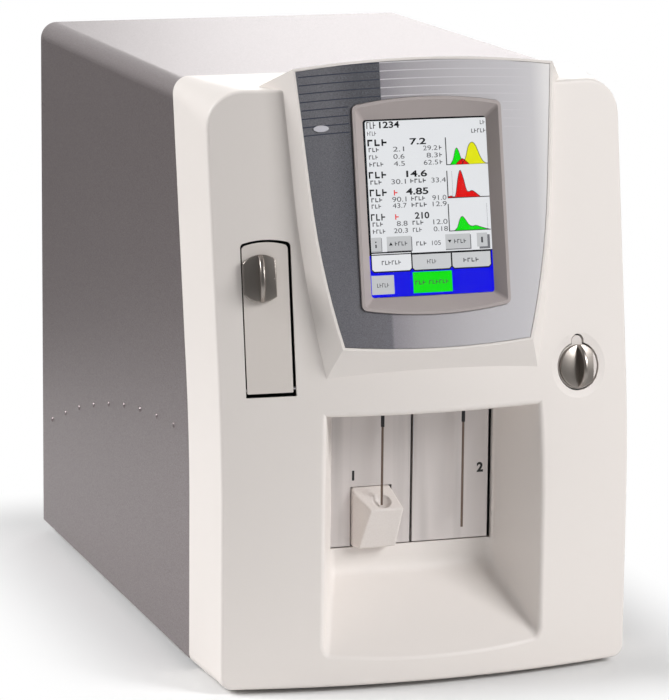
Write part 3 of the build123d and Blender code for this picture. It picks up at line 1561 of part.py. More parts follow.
piston_shares = ((-0.410345, 0.246851), (-0.355172, 0.246851))
piston_places = spread(piston_shares, cover_width, cover_depth)
piston_diameter = 10.0 * width_share
piston_low = 56.0 * height_share
piston_floor = 50.0 * height_share
crosshead_low = 156.0 * height_share
crosshead_high = 165.0 * height_share
crosshead_half = 8.0 * depth_share
pump_x = 84.0 * width_share
pump_height = 100.0 * height_share
pump_side = 64.0 * width_share
pump_front = 92.0 * depth_share
pump_bore = 50.0 * width_share
pump_floor = 4.0
pump_hub = 24.0 * width_share
pump_rollers = 3
pump_roller = 12.0 * width_share
pump_roller_radius = 17.0 * width_share
pump_shaft = 6.0
pump_shaft_end = 14.0
coil_first = -66.0 * width_share
coil_pitch = 26.0 * width_share
coil_count = 4
coil_row_shares = (0.156128, 0.260213)
coil_rows = lengths(coil_row_shares, cover_height)
coil_places = tuple(
    (coil_first + coil_pitch * number, height) for number in range(coil_count) for height in coil_rows
)
coil_diameter = 20.0 * width_share
coil_front = 80.0 * depth_share
coil_nose = 8.0
coil_nose_long = 10.0

with BuildPart() as inner_deck:
    box(-deck_half, deck_half, deck_front, deck_rear, frame_low, deck_high)
    box(-deck_half, deck_half, deck_rear, deck_rear + deck_foot, frame_low, frame_low + frame_sheet)
    level(deck_hose_holes, deck_hose_hole, deck_front - wall, deck_rear + wall, mode=Mode.SUBTRACT)
    for x, height, diameter in (
        (valve_x, valve_height, valve_shaft), (pump_x, pump_height, pump_shaft),
    ):
        bore = diameter + 2 * running_gap
        level(((x, height),), bore, deck_front - wall, deck_rear + wall, mode=Mode.SUBTRACT)

with BuildPart() as mixing_cups:
    for x, y in cup_places:
        upright(((x, y),), cup_diameter, cup_low, cup_high)
        box(x - cup_arm_half, x + cup_arm_half, y, unit_rear, cup_arm_low, cup_arm_high)
    upright(cup_places, cup_bore, cup_low + cup_floor, cup_high + wall, mode=Mode.SUBTRACT)

with BuildPart() as counting_block:
    box(*count_sides, count_front, unit_rear, count_low, count_high)
    upright(cup_places, count_bore, count_low + count_floor, count_high, mode=Mode.SUBTRACT)

valve_spot = ((valve_x, valve_height),)
valve_face = unit_rear - valve_thickness

with BuildPart() as sampling_valve:
    level(valve_spot, valve_disc, valve_face, unit_rear)
    level(valve_spot, valve_shaft + 2 * running_gap, valve_face, unit_rear, mode=Mode.SUBTRACT)

with BuildPart() as valve_rotor:
    turning_face = valve_face - running_gap - valve_turning_thickness
    level(valve_spot, valve_turning, turning_face, valve_face - running_gap)
    level(valve_spot, valve_shaft, turning_face, deck_rear + valve_shaft_end)
    with BuildSketch(Plane.XZ.offset(-back(turning_face))):
        with Locations((valve_x, up(valve_height))):
            with PolarLocations(valve_port_radius, valve_ports):
                Circle(valve_port / 2)
    extrude(amount=valve_port_long)

with BuildPart() as valve_motor:
    half = valve_motor_side / 2
    motor_front = deck_rear + running_gap
    box(
        valve_x - half, valve_x + half, motor_front, motor_front + valve_motor_long,
        valve_height - half, valve_height + half,
    )
    shaft_end = deck_rear + valve_shaft_end + seat_gap
    level(valve_spot, valve_shaft + 2 * running_gap, deck_rear, shaft_end, mode=Mode.SUBTRACT)

with BuildPart() as diluter_body:
    box(*diluter_sides, diluter_front, unit_rear, diluter_low, diluter_high)
    upright(
        piston_places, piston_diameter + 2 * running_gap, piston_floor, diluter_high, mode=Mode.SUBTRACT
    )

with BuildPart() as diluter_pistons:
    upright(piston_places, piston_diameter, piston_low, crosshead_high)
    box(
        *diluter_sides, piston_places[0][1] - crosshead_half, piston_places[0][1] + crosshead_half,
        crosshead_low, crosshead_high,
    )

pump_spot = ((pump_x, pump_height),)

with BuildPart() as pump_housing:
    half = pump_side / 2
    box(pump_x - half, pump_x + half, pump_front, unit_rear, pump_height - half, pump_height + half)
    level(pump_spot, pump_bore, pump_front, unit_rear - pump_floor, mode=Mode.SUBTRACT)
    level(pump_spot, pump_shaft + 2 * running_gap, pump_front, unit_rear, mode=Mode.SUBTRACT)

with BuildPart() as pump_rotor:
    rotor_rear = unit_rear - pump_floor - seat_gap
    level(pump_spot, pump_hub, pump_front + seat_gap, rotor_rear)
    level(pump_spot, pump_shaft, pump_front + seat_gap, deck_rear + pump_shaft_end)
    with BuildSketch(Plane.XZ.offset(-back(pump_front + seat_gap))):
        with Locations((pump_x, up(pump_height))):
            with PolarLocations(pump_roller_radius, pump_rollers, start_angle=90):
                Circle(pump_roller / 2)
    extrude(amount=pump_front + seat_gap - rotor_rear)

with BuildPart() as solenoid_valves:
    level(coil_places, coil_diameter, coil_front, unit_rear)
    level(coil_places, coil_nose, coil_front - coil_nose_long, coil_front)

# Units on the chassis floor behind the deck
supply_side_shares = (0.055172, 0.42069)
supply_sides = lengths(supply_side_shares, cover_width)
supply_span_shares = (0.478589, 0.881612)
supply_span = lengths(supply_span_shares, cover_depth)
supply_tall = 50.0 * height_share
supply_slots = 7
supply_slot_pitch = 14.0 * depth_share
supply_slot_width = 4.0
supply_slot_long = 70.0 * width_share
supply_wall = 1.2
vacuum_side_shares = (-0.406897, -0.2)
vacuum_sides = lengths(vacuum_side_shares, cover_width)
vacuum_span_shares = (0.428212, 0.579345)
vacuum_span = lengths(vacuum_span_shares, cover_depth)
vacuum_tall = 52.0 * height_share
vacuum_motor = 44.0 * height_share
vacuum_motor_long = 56.0 * depth_share
vacuum_axis = 29.0 * height_share
floor_top = frame_low

with BuildPart() as power_supply:
    box(*supply_sides, *supply_span, floor_top, floor_top + supply_tall)
    box(
        supply_sides[0] + supply_wall, supply_sides[1] - supply_wall,
        supply_span[0] + supply_wall, supply_span[1] - supply_wall,
        floor_top + supply_wall, floor_top + supply_tall - supply_wall, mode=Mode.SUBTRACT,
    )
    with BuildSketch(Plane.XY.offset(up(floor_top + supply_tall - 2 * supply_wall))):
        with Locations((sum(supply_sides) / 2, back(sum(supply_span) / 2))):
            with GridLocations(0, supply_slot_pitch, 1, supply_slots):
                SlotOverall(supply_slot_long, supply_slot_width)
    extrude(amount=3 * supply_wall, mode=Mode.SUBTRACT)

with BuildPart() as vacuum_pump:
    box(*vacuum_sides, *vacuum_span, floor_top, floor_top + vacuum_tall)
    spot = ((sum(vacuum_sides) / 2, floor_top + vacuum_axis),)
    level(spot, vacuum_motor, vacuum_span[1], vacuum_span[1] + vacuum_motor_long)

# Labels and files, one for each piece
front_moulding.part.label = "front_moulding"
export_step(front_moulding.part, "parts/front_moulding.step")
base_chassis.part.label = "base_chassis"
export_step(base_chassis.part, "parts/base_chassis.step")
metal_cover.part.label = "metal_cover"
export_step(metal_cover.part, "parts/metal_cover.step")
cover_screws.part.label = "cover_screws"
export_step(cover_screws.part, "parts/cover_screws.step")
feet.part.label = "feet"
export_step(feet.part, "parts/feet.step")
front_frame.part.label = "front_frame"
export_step(front_frame.part, "parts/front_frame.step")
front_screws.part.label = "front_screws"
export_step(front_screws.part, "parts/front_screws.step")
rear_panel.part.label = "rear_panel"
export_step(rear_panel.part, "parts/rear_panel.step")
fan_frame.part.label = "fan_frame"
export_step(fan_frame.part, "parts/fan_frame.step")
fan_rotor.part.label = "fan_rotor"
export_step(fan_rotor.part, "parts/fan_rotor.step")
fan_guard.part.label = "fan_guard"
export_step(fan_guard.part, "parts/fan_guard.step")
fan_screws.part.label = "fan_screws"
export_step(fan_screws.part, "parts/fan_screws.step")
power_inlet.part.label = "power_inlet"
export_step(power_inlet.part, "parts/power_inlet.step")
fuse_drawer.part.label = "fuse_drawer"
export_step(fuse_drawer.part, "parts/fuse_drawer.step")
switch_body.part.label = "switch_body"
export_step(switch_body.part, "parts/switch_body.step")
rocker_switch.part.label = "rocker_switch"
export_step(rocker_switch.part, "parts/rocker_switch.step")
reagent_ports.part.label = "reagent_ports"
export_step(reagent_ports.part, "parts/reagent_ports.step")
main_board.part.label = "main_board"
export_step(main_board.part, "parts/main_board.step")
data_ports.part.label = "data_ports"
export_step(data_ports.part, "parts/data_ports.step")
tube_door.part.label = "tube_door"
export_step(tube_door.part, "parts/tube_door.step")
door_hinge_pin.part.label = "door_hinge_pin"
export_step(door_hinge_pin.part, "parts/door_hinge_pin.step")
tube_cradle.part.label = "tube_cradle"
export_step(tube_cradle.part, "parts/tube_cradle.step")
door_knob.part.label = "door_knob"
export_step(door_knob.part, "parts/door_knob.step")
catch_cam.part.label = "catch_cam"
export_step(catch_cam.part, "parts/catch_cam.step")
door_pocket.part.label = "door_pocket"
export_step(door_pocket.part, "parts/door_pocket.step")
port_sleeve.part.label = "port_sleeve"
export_step(port_sleeve.part, "parts/port_sleeve.step")
adapter_body.part.label = "adapter_body"
export_step(adapter_body.part, "parts/adapter_body.step")
adapter_knob.part.label = "adapter_knob"
export_step(adapter_knob.part, "parts/adapter_knob.step")
start_plate_left.part.label = "start_plate_left"
export_step(start_plate_left.part, "parts/start_plate_left.step")
start_plate_right.part.label = "start_plate_right"
export_step(start_plate_right.part, "parts/start_plate_right.step")
tube_block.part.label = "tube_block"
export_step(tube_block.part, "parts/tube_block.step")
start_switches.part.label = "start_switches"
export_step(start_switches.part, "parts/start_switches.step")
sampler_frame.part.label = "sampler_frame"
export_step(sampler_frame.part, "parts/sampler_frame.step")
guide_rods.part.label = "guide_rods"
export_step(guide_rods.part, "parts/guide_rods.step")
lead_screw.part.label = "lead_screw"
export_step(lead_screw.part, "parts/lead_screw.step")
carriage_motor.part.label = "carriage_motor"
export_step(carriage_motor.part, "parts/carriage_motor.step")
needle_carriage.part.label = "needle_carriage"
export_step(needle_carriage.part, "parts/needle_carriage.step")
needles.part.label = "needles"
export_step(needles.part, "parts/needles.step")
needle_sheaths.part.label = "needle_sheaths"
export_step(needle_sheaths.part, "parts/needle_sheaths.step")
wash_block.part.label = "wash_block"
export_step(wash_block.part, "parts/wash_block.step")
fascia_panel.part.label = "fascia_panel"
export_step(fascia_panel.part, "parts/fascia_panel.step")
screen_bezel.part.label = "screen_bezel"
export_step(screen_bezel.part, "parts/screen_bezel.step")
touch_glass.part.label = "touch_glass"
export_step(touch_glass.part, "parts/touch_glass.step")
lcd_module.part.label = "lcd_module"
export_step(lcd_module.part, "parts/lcd_module.step")
display_bracket.part.label = "display_bracket"
export_step(display_bracket.part, "parts/display_bracket.step")
display_board.part.label = "display_board"
export_step(display_board.part, "parts/display_board.step")
indicator_lens.part.label = "indicator_lens"
export_step(indicator_lens.part, "parts/indicator_lens.step")
inner_deck.part.label = "inner_deck"
export_step(inner_deck.part, "parts/inner_deck.step")
mixing_cups.part.label = "mixing_cups"
export_step(mixing_cups.part, "parts/mixing_cups.step")
counting_block.part.label = "counting_block"
export_step(counting_block.part, "parts/counting_block.step")
sampling_valve.part.label = "sampling_valve"
export_step(sampling_valve.part, "parts/sampling_valve.step")
valve_rotor.part.label = "valve_rotor"
export_step(valve_rotor.part, "parts/valve_rotor.step")
valve_motor.part.label = "valve_motor"
export_step(valve_motor.part, "parts/valve_motor.step")
diluter_body.part.label = "diluter_body"
export_step(diluter_body.part, "parts/diluter_body.step")
diluter_pistons.part.label = "diluter_pistons"
export_step(diluter_pistons.part, "parts/diluter_pistons.step")
pump_housing.part.label = "pump_housing"
export_step(pump_housing.part, "parts/pump_housing.step")
pump_rotor.part.label = "pump_rotor"
export_step(pump_rotor.part, "parts/pump_rotor.step")
solenoid_valves.part.label = "solenoid_valves"
export_step(solenoid_valves.part, "parts/solenoid_valves.step")
power_supply.part.label = "power_supply"
export_step(power_supply.part, "parts/power_supply.step")
vacuum_pump.part.label = "vacuum_pump"
export_step(vacuum_pump.part, "parts/vacuum_pump.step")
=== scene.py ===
# %% [markdown]
# A bench-top blood cell counter, dressed for the camera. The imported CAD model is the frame:
# every solid keeps its place and its shape, and this file adds finishes, printed details,
# light and a camera. All lengths are metres unless a name or a comment says millimetres.

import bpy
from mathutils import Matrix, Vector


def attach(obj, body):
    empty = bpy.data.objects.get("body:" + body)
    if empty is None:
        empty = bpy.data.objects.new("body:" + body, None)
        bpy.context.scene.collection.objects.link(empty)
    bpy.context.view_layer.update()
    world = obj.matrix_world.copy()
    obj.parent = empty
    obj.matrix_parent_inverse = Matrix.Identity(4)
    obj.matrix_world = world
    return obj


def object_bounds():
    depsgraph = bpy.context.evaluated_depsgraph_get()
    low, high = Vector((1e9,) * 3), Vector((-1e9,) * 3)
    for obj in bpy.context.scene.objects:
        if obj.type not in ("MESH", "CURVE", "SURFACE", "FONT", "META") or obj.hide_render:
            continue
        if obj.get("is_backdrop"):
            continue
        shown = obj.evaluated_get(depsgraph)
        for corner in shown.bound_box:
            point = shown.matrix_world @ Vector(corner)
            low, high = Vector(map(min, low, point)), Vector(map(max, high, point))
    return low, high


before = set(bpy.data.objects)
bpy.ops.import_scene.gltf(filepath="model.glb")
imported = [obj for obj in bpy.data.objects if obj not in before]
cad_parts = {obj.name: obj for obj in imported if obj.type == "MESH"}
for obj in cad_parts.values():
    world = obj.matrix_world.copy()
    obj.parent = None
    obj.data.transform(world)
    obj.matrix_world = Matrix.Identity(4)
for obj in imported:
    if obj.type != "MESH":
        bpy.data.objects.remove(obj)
cad_low, cad_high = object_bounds()
print("CAD box", [round(c, 4) for c in cad_low], [round(c, 4) for c in cad_high])

# %% [markdown]
# Python's own maths, Blender's mesh editor and its vectors are all that the rest needs.

# %% Other modules
import math

import bmesh
import bpy
from mathutils import Matrix, Vector

# %% [markdown]
# The camera stands to the left of the instrument and looks slightly down on it from about
# two and a half metres, through a long lens, as a product photographer would. A matrix of
# three directions (right, up, back) is the plainest way to give a measured viewing angle.

# %% Camera
CAMERA_PLACE = Vector((-0.82217, -2.45614, 0.70596))
CAMERA_TURN, CAMERA_DIP, CAMERA_ROLL = 0.3286, 0.1930, -0.0101
SENSOR_MM, LENS_MM = 36, 189.85
SHIFT_ACROSS, SHIFT_UP = -0.00776, -0.04117
FARTHEST_SEEN = 50


def camera_axes(turn, dip, roll):
    """Right, up and back directions of a camera turned from +Y, dipped and rolled."""
    ahead = Vector(
        (math.sin(turn) * math.cos(dip), math.cos(turn) * math.cos(dip), -math.sin(dip))
    )
    level = Vector((math.cos(turn), -math.sin(turn), 0))
    below = ahead.cross(level)
    right = level * math.cos(roll) + below * math.sin(roll)
    down = below * math.cos(roll) - level * math.sin(roll)
    return right, -down, -ahead


camera_data = bpy.data.cameras.new("camera")
camera_data.sensor_width = SENSOR_MM
camera_data.lens = LENS_MM
camera_data.shift_x = SHIFT_ACROSS
camera_data.shift_y = SHIFT_UP
camera_data.clip_end = FARTHEST_SEEN
camera = bpy.data.objects.new("camera", camera_data)
bpy.context.scene.collection.objects.link(camera)
axes = camera_axes(CAMERA_TURN, CAMERA_DIP, CAMERA_ROLL)
camera.matrix_world = Matrix.Translation(CAMERA_PLACE) @ Matrix(axes).transposed().to_4x4()
bpy.context.scene.camera = camera
print("camera looks along", [round(c, 3) for c in -axes[2]])

# %% [markdown]
# Colours are picked as ordinary screen values from 0 to 255. The shader wants linear
# light, so one small function turns the one into the other. A second one makes a node, sets
# its values and joins its inputs, which keeps each material readable as a short list. The
# others are short forms of it: sums, ramps from one value to another, mixes and places.


# %% Colour and node helpers
def screen_colour(red, green, blue):
    """Linear colour with alpha for screen values from 0 to 255, by the standard curve."""
    return tuple(
        c / 12.92 if c <= 0.04045 else ((c + 0.055) / 1.055) ** 2.4
        for c in (red / 255, green / 255, blue / 255)
    ) + (1.0,)


def add_node(tree, kind, links=None, **settings):
    """New node of a kind; links maps an input to a socket or a value, settings are properties."""
    made = tree.nodes.new(kind)
    for name, value in settings.items():
        setattr(made, name, value)
    for name, value in (links or {}).items():
        if isinstance(value, bpy.types.NodeSocket):
            tree.links.new(value, made.inputs[name])
        else:
            made.inputs[name].default_value = value
    return made


def maths(tree, operation, *values):
    """Result of one sum over sockets or numbers."""
    inputs = dict(enumerate(values))
    return add_node(tree, "ShaderNodeMath", inputs, operation=operation).outputs[0]


def vector_maths(tree, operation, *values):
    """Result of one sum over vectors; a length or a dot product is a number."""
    made = add_node(tree, "ShaderNodeVectorMath", dict(enumerate(values)), operation=operation)
    return made.outputs["Value" if operation in ("LENGTH", "DOT_PRODUCT") else "Vector"]


def scaled(tree, colour, factor):
    """Colour times a number."""
    inputs = {0: colour, "Scale": factor}
    return add_node(tree, "ShaderNodeVectorMath", inputs, operation="SCALE").outputs["Vector"]


def ramped(tree, value, start, end, low=0.0, high=1.0, curve="SMOOTHSTEP"):
    """Number that runs from low to high while the value runs from start to end."""
    inputs = {"Value": value, "From Min": start, "From Max": end, "To Min": low, "To Max": high}
    made = add_node(tree, "ShaderNodeMapRange", inputs, interpolation_type=curve)
    return made.outputs["Result"]


def mixed(tree, factor, first, second):
    """Colour between two colours."""
    inputs = {"Factor": factor, 6: first, 7: second}
    return add_node(tree, "ShaderNodeMix", inputs, data_type="RGBA").outputs[2]


def object_place(tree):
    """Place of the shaded point in the piece's own space."""
    return add_node(tree, "ShaderNodeTexCoord").outputs["Object"]


def direct_view(tree):
    """1 for what the camera sees, also through glass, and 0 for what only lights or mirrors."""
    path = add_node(tree, "ShaderNodeLightPath").outputs
    return maths(tree, "MAXIMUM", path["Is Camera Ray"], path["Is Transmission Ray"])


def new_group(name, inputs, outputs):
    """Empty shader node group; inputs and outputs are (name, socket type, default)."""
    group = bpy.data.node_groups.new(name, "ShaderNodeTree")
    for side, sockets in (("INPUT", inputs), ("OUTPUT", outputs)):
        for socket_name, kind, default in sockets:
            socket = group.interface.new_socket(socket_name, in_out=side, socket_type=kind)
            if default is not None:
                socket.default_value = default
    return group, group.nodes.new("NodeGroupInput"), group.nodes.new("NodeGroupOutput")


COLOUR, NUMBER = "NodeSocketColor", "NodeSocketFloat"
print("white is", screen_colour(255, 255, 255))

# %% [markdown]
# Three effects come back in the finishes, so each is a node group. The first is a broad, faint
# change of tone, as moulding, handling and age leave on any panel.

# %% Uneven tone
uneven_tone, tone_in, tone_out = new_group(
    "uneven tone",
    [("Color", COLOUR, (0.8, 0.8, 0.8, 1)), ("Scale", NUMBER, 6.0), ("Strength", NUMBER, 0.05)],
    [("Color", COLOUR, None)],
)
cloud = add_node(
    uneven_tone, "ShaderNodeTexNoise",
    {"Vector": object_place(uneven_tone), "Scale": tone_in.outputs["Scale"], "Detail": 4.0},
)
centred = maths(uneven_tone, "SUBTRACT", cloud.outputs["Fac"], 0.5)
shift = maths(uneven_tone, "MULTIPLY_ADD", centred, tone_in.outputs["Strength"], 1.0)
shifted = scaled(uneven_tone, tone_in.outputs["Color"], shift)
uneven_tone.links.new(shifted, tone_out.inputs["Color"])
print("group", uneven_tone.name)

# %% [markdown]
# The second effect is a fine speckle: the flakes of a powder coat, the grain of a moulded
# face, the dots of a printed film. Its mask says where the specks are.

# %% Speckle
SPECK_FROM, SPECK_FULL = 0.35, 0.65
speckle, speckle_in, speckle_out = new_group(
    "speckle",
    [
        ("Color", COLOUR, (0.5, 0.5, 0.5, 1)),
        ("Speck", COLOUR, (1, 1, 1, 1)),
        ("Scale", NUMBER, 1500.0),
        ("Cover", NUMBER, 0.3),
    ],
    [("Color", COLOUR, None), ("Mask", NUMBER, None)],
)
grains = add_node(
    speckle, "ShaderNodeTexNoise",
    {
        "Vector": object_place(speckle), "Scale": speckle_in.outputs["Scale"],
        "Detail": 2.0, "Roughness": 0.6,
    },
)
specks = ramped(speckle, grains.outputs["Fac"], SPECK_FROM, SPECK_FULL, curve="LINEAR")
cover = maths(speckle, "MULTIPLY", specks, speckle_in.outputs["Cover"])
specked = mixed(speckle, cover, speckle_in.outputs["Color"], speckle_in.outputs["Speck"])
speckle.links.new(specked, speckle_out.inputs["Color"])
speckle.links.new(specks, speckle_out.inputs["Mask"])
print("group", speckle.name)

# %% [markdown]
# The third effect is a set of soft upright streaks, as brushing or wiping leaves on sheet
# metal. The noise is drawn out along the height, and only its high parts darken the colour.

# %% Streaks
STREAK_FROM, STREAK_FULL = 0.5, 0.72
DRAWN_OUT = (1.0, 1.0, 0.04)
streaks, streaks_in, streaks_out = new_group(
    "streaks",
    [("Color", COLOUR, (0.8, 0.8, 0.8, 1)), ("Scale", NUMBER, 90.0), ("Strength", NUMBER, 0.2)],
    [("Color", COLOUR, None)],
)
stretched = add_node(
    streaks, "ShaderNodeMapping", {"Vector": object_place(streaks), "Scale": DRAWN_OUT}
)
bands = add_node(
    streaks, "ShaderNodeTexNoise",
    {"Vector": stretched.outputs["Vector"], "Scale": streaks_in.outputs["Scale"], "Detail": 2.0},
)
band_shade = ramped(streaks, bands.outputs["Fac"], STREAK_FROM, STREAK_FULL, curve="LINEAR")
band_loss = maths(streaks, "MULTIPLY", band_shade, streaks_in.outputs["Strength"])
band_keep = maths(streaks, "SUBTRACT", 1.0, band_loss)
banded = scaled(streaks, streaks_in.outputs["Color"], band_keep)
streaks.links.new(banded, streaks_out.inputs["Color"])
print("group", streaks.name)

# %% [markdown]
# Every finish is a Principled shader with its own colour, roughness and metal value. The
# colour passes through the uneven tone and the speckle, and the speckle's mask drives a very
# shallow bump, so that no surface is one flat colour.

# %% One recipe for all finishes
SPECK_LIFT = 1.5
RELIEF_DEPTH = 0.0002


def finish_material(
    name,
    colour,
    roughness,
    metallic=0.0,
    tone=(6.0, 0.05),
    grain=(1500.0, 0.1),
    speck=None,
    bump=0.02,
    coat=0.0,
):
    """Material with uneven tone and speckle; tone and grain are (scale, strength) pairs."""
    material = bpy.data.materials.new(name)
    material.use_nodes = True
    tree = material.node_tree
    shader = tree.nodes["Principled BSDF"]
    shader.inputs["Roughness"].default_value = roughness
    shader.inputs["Metallic"].default_value = metallic
    shader.inputs["Coat Weight"].default_value = coat
    toned = add_node(
        tree, "ShaderNodeGroup", {"Color": colour, "Scale": tone[0], "Strength": tone[1]},
        node_tree=uneven_tone,
    )
    speck = speck or tuple(min(1, c * SPECK_LIFT) for c in colour[:3]) + (1,)
    dots = add_node(
        tree, "ShaderNodeGroup",
        {
            "Color": toned.outputs["Color"], "Speck": speck,
            "Scale": grain[0], "Cover": grain[1],
        },
        node_tree=speckle,
    )
    tree.links.new(dots.outputs["Color"], shader.inputs["Base Color"])
    relief = add_node(
        tree, "ShaderNodeBump",
        {"Height": dots.outputs["Mask"], "Strength": bump, "Distance": RELIEF_DEPTH},
    )
    tree.links.new(relief.outputs["Normal"], shader.inputs["Normal"])
    return material


def tint(material, colour):
    """Let a colour socket take the place of a finish's own colour."""
    tree = material.node_tree
    for node in tree.nodes:
        if node.type == "GROUP" and node.node_tree == uneven_tone:
            tree.links.new(colour, node.inputs["Color"])


def dress(material, *nodes):
    """Give a finish to CAD nodes, in all their material slots."""
    for node in nodes:
        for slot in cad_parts[node].material_slots:
            slot.material = material


print("speck lift", SPECK_LIFT, "relief", RELIEF_DEPTH)

# %% [markdown]
# The front is off-white moulded plastic, a shade greyer on the door, and the steel box has a
# deep grey metallic powder coat. Metals differ in how blurred their mirror image is. The
# start plates are half metal, half pale film, with the streaks of a wiped sheet.

# %% Finishes
PLATE_COLOUR = screen_colour(218, 210, 207)
PLATE_STREAKS = 0.22
ACRYLIC_CLEARNESS = 0.85
front_plastic = finish_material(
    "front plastic", screen_colour(233, 226, 221), 0.42,
    tone=(5.0, 0.03), grain=(2600.0, 0.05), bump=0.05,
)
door_plastic = finish_material(
    "door plastic", screen_colour(221, 213, 207), 0.4,
    tone=(9.0, 0.04), grain=(2600.0, 0.05), bump=0.05,
)
cover_paint = finish_material(
    "cover paint", screen_colour(124, 114, 115), 0.36, metallic=0.7,
    tone=(4.0, 0.06), grain=(1500.0, 0.45), speck=screen_colour(182, 173, 173), bump=0.2,
)
zinc_sheet = finish_material(
    "zinc sheet", screen_colour(190, 192, 194), 0.35, metallic=0.9,
    tone=(30.0, 0.12), grain=(600.0, 0.2),
)
bright_steel = finish_material(
    "bright steel", screen_colour(205, 205, 208), 0.22, metallic=1.0,
    tone=(60.0, 0.08), grain=(3000.0, 0.1),
)
grip_metal = finish_material(
    "grip metal", screen_colour(156, 149, 143), 0.31, metallic=0.95,
    tone=(40.0, 0.06), grain=(3000.0, 0.12),
)
plate_metal = finish_material(
    "plate metal", PLATE_COLOUR, 0.34, metallic=0.5,
    tone=(18.0, 0.06), grain=(2500.0, 0.08),
)
brushed = add_node(
    plate_metal.node_tree, "ShaderNodeGroup",
    {"Color": PLATE_COLOUR, "Strength": PLATE_STREAKS}, node_tree=streaks,
)
tint(plate_metal, brushed.outputs["Color"])
white_nylon = finish_material(
    "white nylon", screen_colour(224, 216, 211), 0.5,
    tone=(60.0, 0.06), grain=(900.0, 0.1), bump=0.05,
)
black_plastic = finish_material(
    "black plastic", screen_colour(34, 34, 36), 0.5,
    tone=(20.0, 0.2), grain=(2000.0, 0.3), bump=0.08,
)
needle_steel = finish_material(
    "needle steel", screen_colour(120, 104, 94), 0.3, metallic=0.9,
    tone=(80.0, 0.2), grain=(3000.0, 0.1),
)
foot_rubber = finish_material(
    "foot rubber", screen_colour(28, 28, 28), 0.85,
    tone=(30.0, 0.2), grain=(1200.0, 0.3), bump=0.2,
)
bezel_plastic = finish_material(
    "bezel plastic", screen_colour(174, 164, 162), 0.38,
    tone=(12.0, 0.04), grain=(2600.0, 0.08), bump=0.05,
)
board_green = finish_material(
    "board green", screen_colour(24, 92, 58), 0.35,
    tone=(40.0, 0.25), grain=(900.0, 0.3), coat=0.4,
)
valve_white = finish_material(
    "valve ceramic", screen_colour(232, 228, 218), 0.18,
    tone=(30.0, 0.04), grain=(1500.0, 0.05), coat=0.6,
)
spigot_grey = finish_material(
    "spigot grey", screen_colour(120, 122, 126), 0.45, tone=(50.0, 0.1), grain=(1500.0, 0.15)
)
clear_plastic = finish_material(
    "clear acrylic", screen_colour(232, 240, 242), 0.08,
    tone=(30.0, 0.02), grain=(1500.0, 0.02), bump=0.01,
)
acrylic_shader = clear_plastic.node_tree.nodes["Principled BSDF"]
acrylic_shader.inputs["Transmission Weight"].default_value = ACRYLIC_CLEARNESS

dress(front_plastic, "front_moulding")
dress(door_plastic, "tube_door")
dress(cover_paint, "metal_cover", "rear_panel")
dress(
    zinc_sheet, "base_chassis", "front_frame", "sampler_frame", "display_bracket",
    "inner_deck", "power_supply", "cover_screws", "front_screws", "fan_screws",
    "data_ports", "catch_cam",
)
dress(bright_steel, "door_hinge_pin", "guide_rods", "lead_screw", "diluter_pistons", "fan_guard")
dress(grip_metal, "door_knob", "adapter_knob", "needle_carriage")
dress(plate_metal, "start_plate_left", "start_plate_right")
dress(white_nylon, "tube_block", "adapter_body", "pump_housing")
dress(
    black_plastic, "door_pocket", "tube_cradle", "port_sleeve", "start_switches",
    "needle_sheaths", "carriage_motor", "valve_motor", "pump_rotor", "solenoid_valves",
    "vacuum_pump", "fan_frame", "fan_rotor", "power_inlet", "fuse_drawer", "switch_body",
    "rocker_switch", "lcd_module",
)
dress(needle_steel, "needles")
dress(foot_rubber, "feet")
dress(bezel_plastic, "screen_bezel")
dress(board_green, "display_board", "main_board")
dress(valve_white, "sampling_valve", "valve_rotor")
dress(spigot_grey, "reagent_ports")
dress(clear_plastic, "wash_block", "counting_block", "mixing_cups", "diluter_body")
print("finishes", len(bpy.data.materials))

# %% [markdown]
# The fascia is a printed film: dark slate at its left, a sharp step, then lilac silver that
# runs to nearly white at its right. A colour ramp along the instrument's width paints that
# run, with its places in millimetres. Beside the bezel's upper left, the dark part carries a
# painted shade: a darker patch that stands in for the shade the bezel casts there.

# %% Printed fascia
FASCIA_HALF = 90
FASCIA_STOPS = (
    (-90, (80, 79, 84)), (-62, (87, 85, 90)), (-45, (94, 91, 96)), (-32, (98, 95, 101)),
    (-30, (138, 133, 138)), (-12, (166, 161, 165)), (25, (190, 186, 189)),
    (60, (203, 200, 203)), (74, (211, 208, 210)), (84, (238, 235, 234)), (90, (245, 242, 240)),
)
# Painted shade: the colour that darkens the fascia beside the bezel, where the bezel shades it,
# and the bounds of that patch in metres.
BEZEL_SHADE_COLOUR = screen_colour(46, 45, 52)
BEZEL_SHADE_LEFT, BEZEL_SHADE_FULL, BEZEL_SHADE_RIGHT = -0.072, -0.046, -0.0308
BEZEL_SHADE_LOW, BEZEL_SHADE_HIGH = 0.25, 0.33
fascia_print = finish_material(
    "fascia print", screen_colour(170, 170, 175), 0.38,
    tone=(9.0, 0.05), grain=(1900.0, 0.13), speck=screen_colour(205, 210, 222), bump=0.01,
)
tree = fascia_print.node_tree
spot = add_node(tree, "ShaderNodeSeparateXYZ", {0: object_place(tree)}).outputs
share = ramped(tree, spot["X"], -FASCIA_HALF / 1000, FASCIA_HALF / 1000, curve="LINEAR")
ramp = add_node(tree, "ShaderNodeValToRGB", {"Fac": share})
for place_mm, value in FASCIA_STOPS[1:-1]:
    ramp.color_ramp.elements.new((place_mm + FASCIA_HALF) / (2 * FASCIA_HALF))
for element, (place_mm, value) in zip(ramp.color_ramp.elements, FASCIA_STOPS):
    element.position = (place_mm + FASCIA_HALF) / (2 * FASCIA_HALF)
    element.color = screen_colour(*value)
